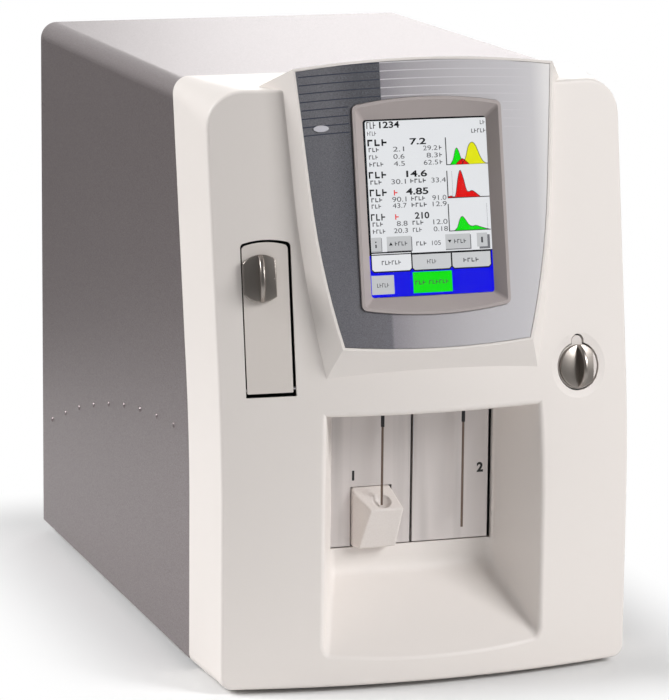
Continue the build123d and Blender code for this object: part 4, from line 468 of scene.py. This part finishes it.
# Painted shade beside the bezel: a mask by place, mixed into the print's colour.
shade_across = ramped(tree, spot["X"], BEZEL_SHADE_LEFT, BEZEL_SHADE_FULL)
high = ramped(tree, spot["Z"], BEZEL_SHADE_LOW, BEZEL_SHADE_HIGH)
left_of_step = maths(tree, "LESS_THAN", spot["X"], BEZEL_SHADE_RIGHT)
bezel_shade = maths(tree, "MULTIPLY", maths(tree, "MULTIPLY", shade_across, high), left_of_step)
tint(fascia_print, mixed(tree, bezel_shade, ramp.outputs["Color"], BEZEL_SHADE_COLOUR))
dress(fascia_print, "fascia_panel")
print("fascia stops", len(ramp.color_ramp.elements))

# %% [markdown]
# The indicator's lens is a small pale window under a clear coat, and the touch glass is
# clear: a Principled shader with full transmission and low roughness. The glass is thin, so
# it hardly bends the light.

# %% Lens and glass
THIN_GLASS_BEND = 1.05
lens_smoke = finish_material(
    "lens smoke", screen_colour(205, 203, 210), 0.2, tone=(200.0, 0.1), coat=0.8
)
dress(lens_smoke, "indicator_lens")
touch_clear = finish_material(
    "touch glass", screen_colour(250, 252, 252), 0.03,
    tone=(10.0, 0.01), grain=(1500.0, 0.01), bump=0.0,
)
glass_shader = touch_clear.node_tree.nodes["Principled BSDF"]
glass_shader.inputs["Transmission Weight"].default_value = 1.0
glass_shader.inputs["IOR"].default_value = THIN_GLASS_BEND
dress(touch_clear, "touch_glass")
print("finishes", len(bpy.data.materials))

# %% [markdown]
# Printed and lit details lie on the fascia's slope. They are drawn in millimetres across and
# up that slope, and one function puts them on it. Depth counts inwards from the fascia's rim.

# %% The fascia's slope
SLOPE = math.radians(11.3)
SLOPE_FOOT = Vector((0, -0.2453, 0.229))
SLOPE_UP = Vector((0, math.sin(SLOPE), math.cos(SLOPE)))
SLOPE_OUT = Vector((0, -math.cos(SLOPE), math.sin(SLOPE)))


def on_slope(across, rise, depth):
    """Point across and up the fascia's slope, at a depth behind its rim, all in millimetres."""
    return (
        SLOPE_FOOT + Vector((across / 1000, 0, 0)) + SLOPE_UP * (rise / 1000)
        - SLOPE_OUT * (depth / 1000)
    )


def flat_piece(name, outlines, material, where):
    """Mesh of flat outlines; where turns an outline's (across, rise) into a point."""
    mesh = bmesh.new()
    for outline in outlines:
        mesh.faces.new([mesh.verts.new(where(*point)) for point in outline])
    bmesh.ops.triangulate(mesh, faces=mesh.faces[:])
    data = bpy.data.meshes.new(name)
    mesh.to_mesh(data)
    mesh.free()
    piece = bpy.data.objects.new(name, data)
    bpy.context.scene.collection.objects.link(piece)
    data.materials.append(material)
    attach(piece, "casing")
    return piece


def bar(left, right, low, high):
    """Rectangle as an outline."""
    return [(left, low), (right, low), (right, high), (left, high)]


print("slope foot at", tuple(SLOPE_FOOT))

# %% [markdown]
# The screen is lit from inside, so its picture is made of emitting faces in thin layers
# between the display and the glass. They share one more effect, a fine grid of cells, as any
# flat display has when seen close.

# %% Display cells
CELL_PITCH, CELL_DEPTH = 0.00036, 0.05
FULL_TURN = 6.2832
display_cells, cells_in, cells_out = new_group(
    "display cells",
    [
        ("Color", COLOUR, (1, 1, 1, 1)), ("Pitch", NUMBER, CELL_PITCH),
        ("Depth", NUMBER, CELL_DEPTH),
    ],
    [("Color", COLOUR, None)],
)
spot = add_node(display_cells, "ShaderNodeSeparateXYZ", {0: object_place(display_cells)}).outputs
waves = []
for axis in ("X", "Z"):
    cells = maths(display_cells, "DIVIDE", spot[axis], cells_in.outputs["Pitch"])
    phase = maths(display_cells, "MULTIPLY", cells, FULL_TURN)
    waves.append(maths(display_cells, "COSINE", phase))
grid = maths(display_cells, "MAXIMUM", *waves)
dim = maths(display_cells, "MULTIPLY", grid, cells_in.outputs["Depth"])
bright = maths(display_cells, "SUBTRACT", 1.0, dim)
lit = scaled(display_cells, cells_in.outputs["Color"], bright)
display_cells.links.new(lit, cells_out.inputs["Color"])
print("group", display_cells.name)

# %% [markdown]
# Each colour of the picture has one emitting material. Layers a few hundredths of a
# millimetre apart keep its faces from lying in each other. The picture is laid out in units
# of a flat drawing of the screen, nine of them to a millimetre, counted right and down.

# %% Screen colours, layers and drawing
SCREEN_COLOURS = {
    "paper": (232, 232, 235), "blue": (6, 5, 231), "key": (198, 198, 200),
    "tab": (206, 206, 208), "green": (7, 229, 7), "red": (229, 6, 6), "yellow": (232, 231, 8),
    "ink": (18, 18, 22), "grey": (74, 74, 78), "shade": (118, 118, 122), "rose": (232, 66, 66),
}
SCREEN_DEPTH, LAYER_RISE = 6.95, 0.04
GROUND, UNDER, FIELD, RULE, PRINT, TOP = range(6)
UNITS_PER_MM, DRAWING_LEFT, DRAWING_TOP = 9, 60, 170


def lit_material(name, colour):
    """Emitting material of one screen colour, with the display's cells in it."""
    material = bpy.data.materials.new(name)
    material.use_nodes = True
    tree = material.node_tree
    shader = tree.nodes["Principled BSDF"]
    cells = add_node(tree, "ShaderNodeGroup", {"Color": colour}, node_tree=display_cells)
    tree.links.new(cells.outputs["Color"], shader.inputs["Emission Color"])
    shader.inputs["Emission Strength"].default_value = 1.0
    shader.inputs["Base Color"].default_value = (0.01, 0.01, 0.01, 1)
    shader.inputs["Specular IOR Level"].default_value = 0.0
    shader.inputs["Roughness"].default_value = 0.6
    return material


screen_lit = {
    name: lit_material(f"screen {name}", screen_colour(*value))
    for name, value in SCREEN_COLOURS.items()
}


def screen_piece(name, colour, outlines, layer):
    """Lit outlines of the screen's picture, in one of its thin layers."""
    return flat_piece(
        f"screen_{name}", outlines, screen_lit[colour],
        lambda x, y: on_slope(x, y, SCREEN_DEPTH - LAYER_RISE * layer),
    )


def from_view(x, y):
    """Place on the slope, in millimetres, of a point of the drawing."""
    return x / UNITS_PER_MM - DRAWING_LEFT, DRAWING_TOP - y / UNITS_PER_MM


def view_outline(*points):
    """Any outline of the drawing."""
    return [from_view(*point) for point in points]


def view_bar(left, right, top, bottom):
    """Rectangle of the drawing."""
    x0, y1 = from_view(left, top)
    x1, y0 = from_view(right, bottom)
    return bar(x0, x1, y0, y1)


def tab_outline(left, right, top, bottom, corner):
    """Tab of the drawing, with its lower corners cut."""
    return view_outline(
        (left, top), (right, top), (right, bottom - corner), (right - corner, bottom),
        (left + corner, bottom), (left, bottom - corner),
    )


print("screen colours", len(screen_lit))

# %% [markdown]
# The fields of the picture come first: a pale page over a blue band, three tabs, and the
# keys with a darker edge below and to the right. A dark rim with round corners frames all.
# Every box is left, right, top and bottom on the drawing.

# %% Fields and keys
TABS = ((174, 418, 968, "paper"), (426, 666, 984, "tab"), (675, 915, 984, "tab"))
TAB_FOOT, TAB_CUT = 1073, 12
LINE_FOOT, LINE_CUT, LINE_OUT, LINE_UP = 1081, 16, 6, 8
KEYS = (
    (165, 305, 1097, 1208), (176, 238, 874, 955), (272, 424, 872, 957), (638, 793, 874, 960),
    (836, 902, 874, 955),
)
KEY_EDGES = (
    (176, 242, 953, 958), (237, 242, 878, 958), (272, 430, 956, 963), (423, 430, 878, 963),
    (638, 799, 959, 966), (792, 799, 880, 966), (850, 918, 955, 968), (902, 918, 885, 968),
)
RIM_BARS = ((146, 174, 168, 975), (935, 952, 168, 975), (146, 952, 164, 193))
RIM_CORNERS = (
    ((150, 188), (193, 188), (182, 192), (174, 201), (170, 214), (150, 214)),
    ((949, 188), (914, 188), (925, 192), (933, 201), (937, 214), (949, 214)),
)
RULES = (
    (155, 945, 973, 979), (668, 674, 303, 466), (668, 932, 462, 467), (666, 672, 500, 662),
    (668, 935, 658, 663), (664, 670, 696, 857), (664, 926, 853, 858), (200, 208, 897, 905),
    (200, 208, 915, 935),
)
screen_piece("paper", "paper", [view_bar(155, 945, 175, 975)], GROUND)
screen_piece("band", "blue", [view_bar(150, 945, 975, 1225)], GROUND)
for number, (left, right, top, colour) in enumerate(TABS):
    line = tab_outline(left - LINE_OUT, right + LINE_OUT, top - LINE_UP, LINE_FOOT, LINE_CUT)
    screen_piece(f"tab_line_{number}", "ink", [line], UNDER)
    tab = tab_outline(left, right, top, TAB_FOOT, TAB_CUT)
    screen_piece(f"tab_{number}", colour, [tab], FIELD)
screen_piece("go_key", "green", [view_bar(423, 668, 1087, 1210)], UNDER)
screen_piece("keys", "key", [view_bar(*box) for box in KEYS], FIELD)
screen_piece("key_shade", "shade", [view_bar(*box) for box in KEY_EDGES], UNDER)
rim = [view_bar(*box) for box in RIM_BARS] + [view_outline(*corner) for corner in RIM_CORNERS]
screen_piece("edge", "ink", rim, TOP)
screen_piece("rules", "ink", [view_bar(*box) for box in RULES], RULE)
print("tabs and keys", len(TABS) + len(KEYS))

# %% [markdown]
# The curves on the right of the screen are counts against cell size: plain smooth humps.
# Each is drawn from a few points with a curve through them and a dark line round it. The
# number in front of its points is the drawing's height of the line that it stands on.

# %% Curves on the screen
HUMPS = (
    ("low_a", "green", RULE, 465, (
        (693, 465), (712, 436), (727, 385), (738, 368), (750, 388), (762, 430), (775, 465),
    )),
    ("high", "yellow", RULE, 465, (
        (765, 465), (790, 430), (812, 360), (835, 337), (858, 358), (885, 425), (905, 455),
        (925, 465),
    )),
    ("low_b", "red", PRINT, 465, (
        (728, 465), (748, 445), (770, 432), (792, 447), (812, 465),
    )),
    ("middle", "red", RULE, 660, (
        (668, 655), (688, 649), (705, 655), (718, 640), (736, 545), (752, 500), (768, 540),
        (786, 615), (800, 628), (820, 622), (840, 633), (860, 650), (873, 660),
    )),
    ("lower", "green", RULE, 855, (
        (698, 855), (718, 835), (736, 787), (752, 773), (770, 792), (790, 822), (812, 832),
        (835, 829), (865, 839), (900, 850), (920, 855),
    )),
)
CURVE_STEPS = 8
LINE_HALF = 0.2
DOT_SIDE, DOT_PITCH = 3, 7
DOT_COLUMNS = ((698, 506, 655), (907, 700, 854))


def curve_outline(base, points):
    """Closed outline of a smooth curve of (across, rise) points standing on a base line."""
    smooth = []
    for number in range(len(points) - 1):
        before = points[max(number - 1, 0)]
        start, end = points[number], points[number + 1]
        after = points[min(number + 2, len(points) - 1)]
        for step in range(CURVE_STEPS):
            t = step / CURVE_STEPS
            smooth.append(
                tuple(
                    0.5 * (
                        2 * start[i] + (end[i] - before[i]) * t
                        + (2 * before[i] - 5 * start[i] + 4 * end[i] - after[i]) * t**2
                        + (3 * start[i] - before[i] - 3 * end[i] + after[i]) * t**3
                    )
                    for i in (0, 1)
                )
            )
    smooth.append(points[-1])
    smooth = [(x, max(y, base)) for x, y in smooth]
    return [(points[0][0], base)] + smooth + [(points[-1][0], base)]


for name, colour, layer, base, drawn in HUMPS:
    outline = curve_outline(from_view(0, base)[1], view_outline(*drawn))
    screen_piece(f"hump_{name}", colour, [outline], layer)
    edge = []
    for start, end in zip(outline[1:-2], outline[2:-1]):
        along = Vector((end[0] - start[0], end[1] - start[1]))
        side = Vector((-along.y, along.x)).normalized() * LINE_HALF
        edge.append([
            (start[0] - side.x, start[1] - side.y), (end[0] - side.x, end[1] - side.y),
            (end[0] + side.x, end[1] + side.y), (start[0] + side.x, start[1] + side.y),
        ])
    screen_piece(f"hump_line_{name}", "ink", edge, TOP)
dots = [
    view_bar(left, left + DOT_SIDE, y, y + DOT_SIDE)
    for left, top, bottom in DOT_COLUMNS
    for y in range(top, bottom, DOT_PITCH)
]
screen_piece("limit_dots", "grey", dots, PRINT)
print("curves", len(HUMPS))

# %% [markdown]
# Numerals are real glyphs, turned into flat mesh and stretched to their boxes on the
# drawing. The values are plain ones, made up for the picture.

# %% Numerals
BOLD_WEIGHT, FINE_WEIGHT = 0.025, 0.0
BOLD_NUMERALS = (
    ("1234", 262, 388, 197, 236), ("7.2", 447, 548, 300, 339), ("14.6", 415, 545, 489, 528),
    ("4.85", 408, 547, 592, 632), ("210", 455, 545, 736, 775),
)
FINE_NUMERALS = (
    ("2.1", 341, 410, 347, 375), ("0.6", 341, 410, 390, 418), ("4.5", 341, 410, 432, 460),
    ("29.2", 528, 618, 347, 375), ("8.3", 548, 618, 390, 418), ("62.5", 528, 618, 432, 460),
    ("30.1", 320, 410, 537, 566), ("33.4", 570, 660, 537, 566), ("90.1", 320, 408, 641, 670),
    ("43.7", 320, 408, 678, 706), ("91.0", 570, 658, 641, 670), ("12.9", 570, 658, 678, 706),
    ("8.8", 340, 407, 783, 812), ("20.3", 320, 407, 825, 853), ("12.0", 568, 657, 783, 812),
    ("0.18", 568, 657, 825, 853), ("105", 553, 608, 907, 934), ("1", 862, 874, 898, 932),
)


def numeral_faces(text, weight):
    """Triangles of a line of numerals of type size 1, its lower left corner at zero."""
    curve = bpy.data.curves.new("numerals", "FONT")
    curve.body, curve.size, curve.offset = text, 1.0, weight
    carrier = bpy.data.objects.new("numerals", curve)
    bpy.context.scene.collection.objects.link(carrier)
    mesh = bpy.data.meshes.new_from_object(carrier)
    faces = [[tuple(mesh.vertices[i].co[:2]) for i in face.vertices] for face in mesh.polygons]
    bpy.data.objects.remove(carrier)
    bpy.data.meshes.remove(mesh)
    bpy.data.curves.remove(curve)
    return faces


def set_numerals(lines, weight):
    """Triangles of many lines; each is (text, left, right, top, bottom) on the drawing."""
    faces = []
    for text, left, right, top, bottom in lines:
        x0, y1 = from_view(left, top)
        x1, y0 = from_view(right, bottom)
        raw = numeral_faces(text, weight)
        xs = [p[0] for face in raw for p in face]
        ys = [p[1] for face in raw for p in face]
        for face in raw:
            faces.append([
                (x0 + (p[0] - min(xs)) / (max(xs) - min(xs)) * (x1 - x0),
                 y0 + (p[1] - min(ys)) / (max(ys) - min(ys)) * (y1 - y0))
                for p in face
            ])
    return faces


screen_piece("numerals_bold", "ink", set_numerals(BOLD_NUMERALS, BOLD_WEIGHT), PRINT)
screen_piece("numerals_fine", "grey", set_numerals(FINE_NUMERALS, FINE_WEIGHT), PRINT)
print("numerals", len(BOLD_NUMERALS) + len(FINE_NUMERALS))

# %% [markdown]
# Each word beside the numerals is a row of small marks that have the look of print from
# afar, and spell nothing close to. Bold and red ones are given by their box and the count of
# marks, thin ones by left, right, middle height and count.

# %% Rows of marks for words
BOLD_WORDS = (
    (184, 245, 197, 236, 3), (184, 315, 300, 339, 3), (182, 300, 489, 528, 3),
    (182, 298, 592, 632, 3), (182, 278, 736, 775, 3),
)
THIN_WORDS = (
    (186, 245, 265, 4), (190, 258, 361, 3), (190, 250, 404, 3), (190, 282, 446, 4),
    (190, 266, 551, 3), (438, 542, 551, 4), (190, 264, 655, 3), (438, 530, 655, 4),
    (190, 254, 692, 3), (438, 540, 692, 4), (190, 260, 797, 3), (438, 512, 797, 3),
    (190, 272, 839, 4), (438, 498, 839, 3), (893, 928, 221, 2), (836, 930, 270, 5),
    (628, 650, 361, 1), (628, 650, 404, 1), (628, 650, 446, 1), (455, 524, 920, 3),
    (322, 404, 915, 4), (692, 772, 917, 4), (234, 358, 1024, 6), (516, 578, 1028, 4),
    (744, 846, 1030, 4), (198, 276, 1155, 5), (436, 505, 1149, 3), (522, 650, 1149, 6),
)
RED_MARKS = ((332, 362, 600, 632, 1), (332, 362, 742, 774, 1))
ARROWS = (((285, 924), (308, 924), (296.5, 905)), ((652, 907), (664, 924), (676, 907)))
THIN_HALF = 12
UPRIGHT_SHARE, ARM_SHARE = 0.24, 0.74


def word_marks(left, right, top, bottom, count):
    """A word as a row of small marks: uprights with short arms at changing heights."""
    pitch = (right - left) / count
    line = pitch * UPRIGHT_SHARE
    marks = []
    for number in range(count):
        edge = left + number * pitch
        marks.append(view_bar(edge, edge + line, top, bottom))
        arm = (top, (top + bottom) / 2 - line / 2, bottom - line)[(number * 2 + count) % 3]
        marks.append(view_bar(edge, edge + pitch * ARM_SHARE, arm, arm + line))
    return marks


def many_words(words):
    """Marks of many words in one list."""
    return [mark for word in words for mark in word_marks(*word)]


thin_boxes = [
    (left, right, middle - THIN_HALF, middle + THIN_HALF, count)
    for left, right, middle, count in THIN_WORDS
]
screen_piece("words_bold", "ink", many_words(BOLD_WORDS), PRINT)
screen_piece("words_thin", "grey", many_words(thin_boxes), PRINT)
screen_piece("marks_red", "rose", many_words(RED_MARKS), PRINT)
screen_piece("arrows", "ink", [view_outline(*arrow) for arrow in ARROWS], PRINT)
print("words", len(BOLD_WORDS) + len(THIN_WORDS))

# %% [markdown]
# Fine stripes run across the fascia's upper part as shallow arcs, dark on the dark side and
# pale on the light side. The upper ones cross the whole width, the lower ones stay beside
# the bezel. They are flat strips of ink just in front of the printed film, in millimetres.

# %% Stripes on the fascia
STRIPE_CREST, STRIPE_PITCH, STRIPE_COUNT, STRIPE_RADIUS = 186.4, 5.43, 9, 1300.0
STRIPE_STEPS, STRIPE_DEPTH = 24, 0.27
WHOLE_STRIPES = 5
UPPER_LEFT, LOWER_LEFT, LEFT_CHANGE = -86.5, -85.5, 160
COLOUR_STEP, STRIPE_RIGHT, BEZEL_SIDE = -30.8, 74, 53.5
DARK_WIDTH, PALE_WIDTH, SHORT_PALE_WIDTH = 0.75, 0.6, 0.5
ink_navy = finish_material(
    "navy ink", screen_colour(28, 34, 56), 0.4, tone=(80.0, 0.1), grain=(1500.0, 0.1)
)
ink_pale = finish_material(
    "pale ink", screen_colour(209, 206, 210), 0.4, tone=(80.0, 0.05), grain=(1500.0, 0.05)
)


def stripe(crest, start, end, thickness):
    """Thin arc across the slope as an outline."""
    xs = [start + (end - start) * i / STRIPE_STEPS for i in range(STRIPE_STEPS + 1)]
    low = [(x, crest - x * x / 2 / STRIPE_RADIUS - thickness / 2) for x in xs]
    high = [(x, crest - x * x / 2 / STRIPE_RADIUS + thickness / 2) for x in reversed(xs)]
    return low + high


dark_stripes, pale_stripes = [], []
for number in range(STRIPE_COUNT):
    crest = STRIPE_CREST - number * STRIPE_PITCH
    left = UPPER_LEFT if crest > LEFT_CHANGE else LOWER_LEFT
    if number < WHOLE_STRIPES:
        dark_stripes.append(stripe(crest, left, COLOUR_STEP, DARK_WIDTH))
        pale_stripes.append(stripe(crest, COLOUR_STEP, STRIPE_RIGHT, PALE_WIDTH))
    else:
        dark_stripes.append(stripe(crest, left, -BEZEL_SIDE, DARK_WIDTH))
        pale_stripes.append(stripe(crest, BEZEL_SIDE, STRIPE_RIGHT, SHORT_PALE_WIDTH))
for name, ink, outlines in (("dark", ink_navy, dark_stripes), ("pale", ink_pale, pale_stripes)):
    flat_piece(
        f"fascia_stripes_{name}", outlines, ink,
        lambda x, y: on_slope(x, y, STRIPE_DEPTH),
    )
print("stripes", len(dark_stripes) + len(pale_stripes))

# %% [markdown]
# Each start plate carries one plain printed numeral, which rides on its plate. The type size
# is the numeral's height times a share that the typeface fixes.

# %% Numerals on the start plates
ink_black = finish_material(
    "black ink", screen_colour(20, 20, 22), 0.5, tone=(80.0, 0.1), grain=(1500.0, 0.1)
)
PLATE_FACE, MARK_RISE, BASE_RISE = 196.0, 0.05, 8.0
MARK_LOW, MARK_TALL, TYPE_SHARE, MARK_WEIGHT = 123.0, 6.5, 1.35, 0.045
PLATE_MARKS = (
    ("plate_mark_left", "plate_left", "1", -43.4),
    ("plate_mark_right", "plate_right", "2", 46.8),
)


def on_plates(across, height):
    """Point just in front of the start plates, from millimetres across and above the base."""
    return Vector((across, -PLATE_FACE - MARK_RISE, height + BASE_RISE)) / 1000


for name, body, text, left in PLATE_MARKS:
    faces = [
        [
            (x * MARK_TALL * TYPE_SHARE + left, y * MARK_TALL * TYPE_SHARE + MARK_LOW)
            for x, y in face
        ]
        for face in numeral_faces(text, MARK_WEIGHT)
    ]
    mark = flat_piece(name, faces, ink_black, on_plates)
    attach(mark, body)
print("plate marks", len(PLATE_MARKS))

# %% [markdown]
# The floor is a pale sheet. Close to the instrument it shows its real shading, with the soft
# shadow that seats the instrument on it. Farther out the camera sees it as plain white, so
# that it runs into the white backdrop without an edge. Beyond the sheet the studio's floor is
# grey, which shows only as the darker upper part of what the painted sides mirror.

# %% Floor
FLOOR_REACH = 6
WHITE_FROM = 0.11
SHEET_EDGE, STUDIO_FLOOR = 0.25, 0.85
SHEET_COLOUR, STUDIO_COLOUR = (0.84, 0.84, 0.84, 1), (0.2, 0.2, 0.2, 1)
PLAIN_WHITE = (1, 1, 1, 1)
corners = [(x, y, 0) for x, y in bar(-FLOOR_REACH, FLOOR_REACH, -FLOOR_REACH, FLOOR_REACH)]
floor_mesh = bpy.data.meshes.new("floor")
floor_mesh.from_pydata(corners, [], [(0, 1, 2, 3)])
floor = bpy.data.objects.new("floor", floor_mesh)
bpy.context.scene.collection.objects.link(floor)
floor_white = bpy.data.materials.new("floor white")
floor_white.use_nodes = True
tree = floor_white.node_tree
shader = tree.nodes["Principled BSDF"]
shader.inputs["Roughness"].default_value = 0.9
shader.inputs["Specular IOR Level"].default_value = 0.1
half, middle = (cad_high - cad_low) / 2, (cad_high + cad_low) / 2
offset = vector_maths(tree, "SUBTRACT", object_place(tree), (middle.x, middle.y, 0))
sides = vector_maths(tree, "ABSOLUTE", offset)
beyond = vector_maths(tree, "SUBTRACT", sides, (half.x, half.y, 0))
outside = vector_maths(tree, "MAXIMUM", beyond, (0, 0, 0))
away = vector_maths(tree, "LENGTH", outside)
sheet = ramped(tree, away, SHEET_EDGE, STUDIO_FLOOR)
floor_tone = add_node(
    tree, "ShaderNodeGroup",
    {"Color": mixed(tree, sheet, SHEET_COLOUR, STUDIO_COLOUR), "Strength": 0.02},
    node_tree=uneven_tone,
)
tree.links.new(floor_tone.outputs["Color"], shader.inputs["Base Color"])
fade = ramped(tree, away, 0.0, WHITE_FROM)
white_share = maths(tree, "MULTIPLY", fade, direct_view(tree))
plain_white = add_node(tree, "ShaderNodeEmission", {"Color": PLAIN_WHITE, "Strength": 1.0})
floor_mix = add_node(
    tree, "ShaderNodeMixShader",
    {0: white_share, 1: shader.outputs[0], 2: plain_white.outputs[0]},
)
tree.links.new(floor_mix.outputs[0], tree.nodes["Material Output"].inputs["Surface"])
floor_mesh.materials.append(floor_white)
floor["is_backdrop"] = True
print("floor fades to white over", WHITE_FROM, "m")

# %% [markdown]
# The backdrop behind the instrument is white. Round the rest of the room it falls off to a
# grey, as a studio does away from its backdrop, with one more bright side at the right, so
# that metal shows bright sides and dark ones. Diffuse light from the room is plain and even.
# The edges of a bright side are cosines of the angle from its middle.

# %% World
BACKDROP_WAY, BACKDROP_EDGES = Vector((0.32, 0.93, 0.1)).normalized(), (0.7, 0.95)
RIGHT_WAY, RIGHT_EDGES = Vector((0.9, -0.35, 0.12)).normalized(), (0.52, 0.95)
ROOM_GREY, ROOM_LIGHT = 0.18, 0.25
world = bpy.data.worlds.new("studio")
bpy.context.scene.world = world
world.use_nodes = True
sky = world.node_tree
sky_light = sky.nodes["Background"]
sky_light.inputs["Color"].default_value = PLAIN_WHITE
sky_light.inputs["Strength"].default_value = ROOM_LIGHT
seen = add_node(sky, "ShaderNodeBackground", {"Color": PLAIN_WHITE, "Strength": 1.0})
way = add_node(sky, "ShaderNodeTexCoord").outputs["Generated"]
facing = vector_maths(sky, "DOT_PRODUCT", way, tuple(BACKDROP_WAY))
graded = ramped(sky, facing, *BACKDROP_EDGES, low=ROOM_GREY)
sideways = vector_maths(sky, "DOT_PRODUCT", way, tuple(RIGHT_WAY))
bright_right = ramped(sky, sideways, *RIGHT_EDGES)
brighter = maths(sky, "MAXIMUM", graded, bright_right)
mirrored = add_node(sky, "ShaderNodeBackground", {"Color": PLAIN_WHITE, "Strength": brighter})
glossy = add_node(sky, "ShaderNodeLightPath").outputs["Is Glossy Ray"]
for_metal = add_node(
    sky, "ShaderNodeMixShader", {0: glossy, 1: sky_light.outputs[0], 2: mirrored.outputs[0]}
)
choice = add_node(
    sky, "ShaderNodeMixShader",
    {0: direct_view(sky), 1: for_metal.outputs[0], 2: seen.outputs[0]},
)
sky.links.new(choice.outputs[0], sky.nodes["World Output"].inputs["Surface"])
print("backdrop towards", tuple(round(c, 2) for c in BACKDROP_WAY))

# %% [markdown]
# Three broad soft lamps: the main one at the right front shapes the face and leaves its left
# side in half shade, one behind the left shoulder lights the flank but not the face, and one
# behind gives the painted top its sheen. Size is a lamp's side in metres, power is in watts.


# %% Lamps
def soft_lamp(name, place, aim, size, power):
    """Square area lamp at a place, turned to an aim."""
    data = bpy.data.lights.new(name, "AREA")
    data.size, data.energy = size, power
    lamp = bpy.data.objects.new(name, data)
    bpy.context.scene.collection.objects.link(lamp)
    lamp.location = place
    lamp.rotation_euler = (Vector(aim) - Vector(place)).to_track_quat("-Z", "Y").to_euler()
    lamp.visible_camera = False


soft_lamp("main_lamp", (1.85, -1.95, 1.65), aim=(0, -0.1, 0.2), size=1.2, power=61)
soft_lamp("left_lamp", (-2.2, 0.5, 1.8), aim=(-0.1, -0.1, 0.2), size=1.2, power=66)
soft_lamp("back_lamp", (1.5, 3.0, 1.6), aim=(0, 0, 0.4), size=1.6, power=18)
print("lamps", len(bpy.data.lights))

# %% Finish
bpy.context.scene.view_settings.view_transform = "Standard"
low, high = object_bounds()
print("visual box", [round(c, 4) for c in low], [round(c, 4) for c in high])
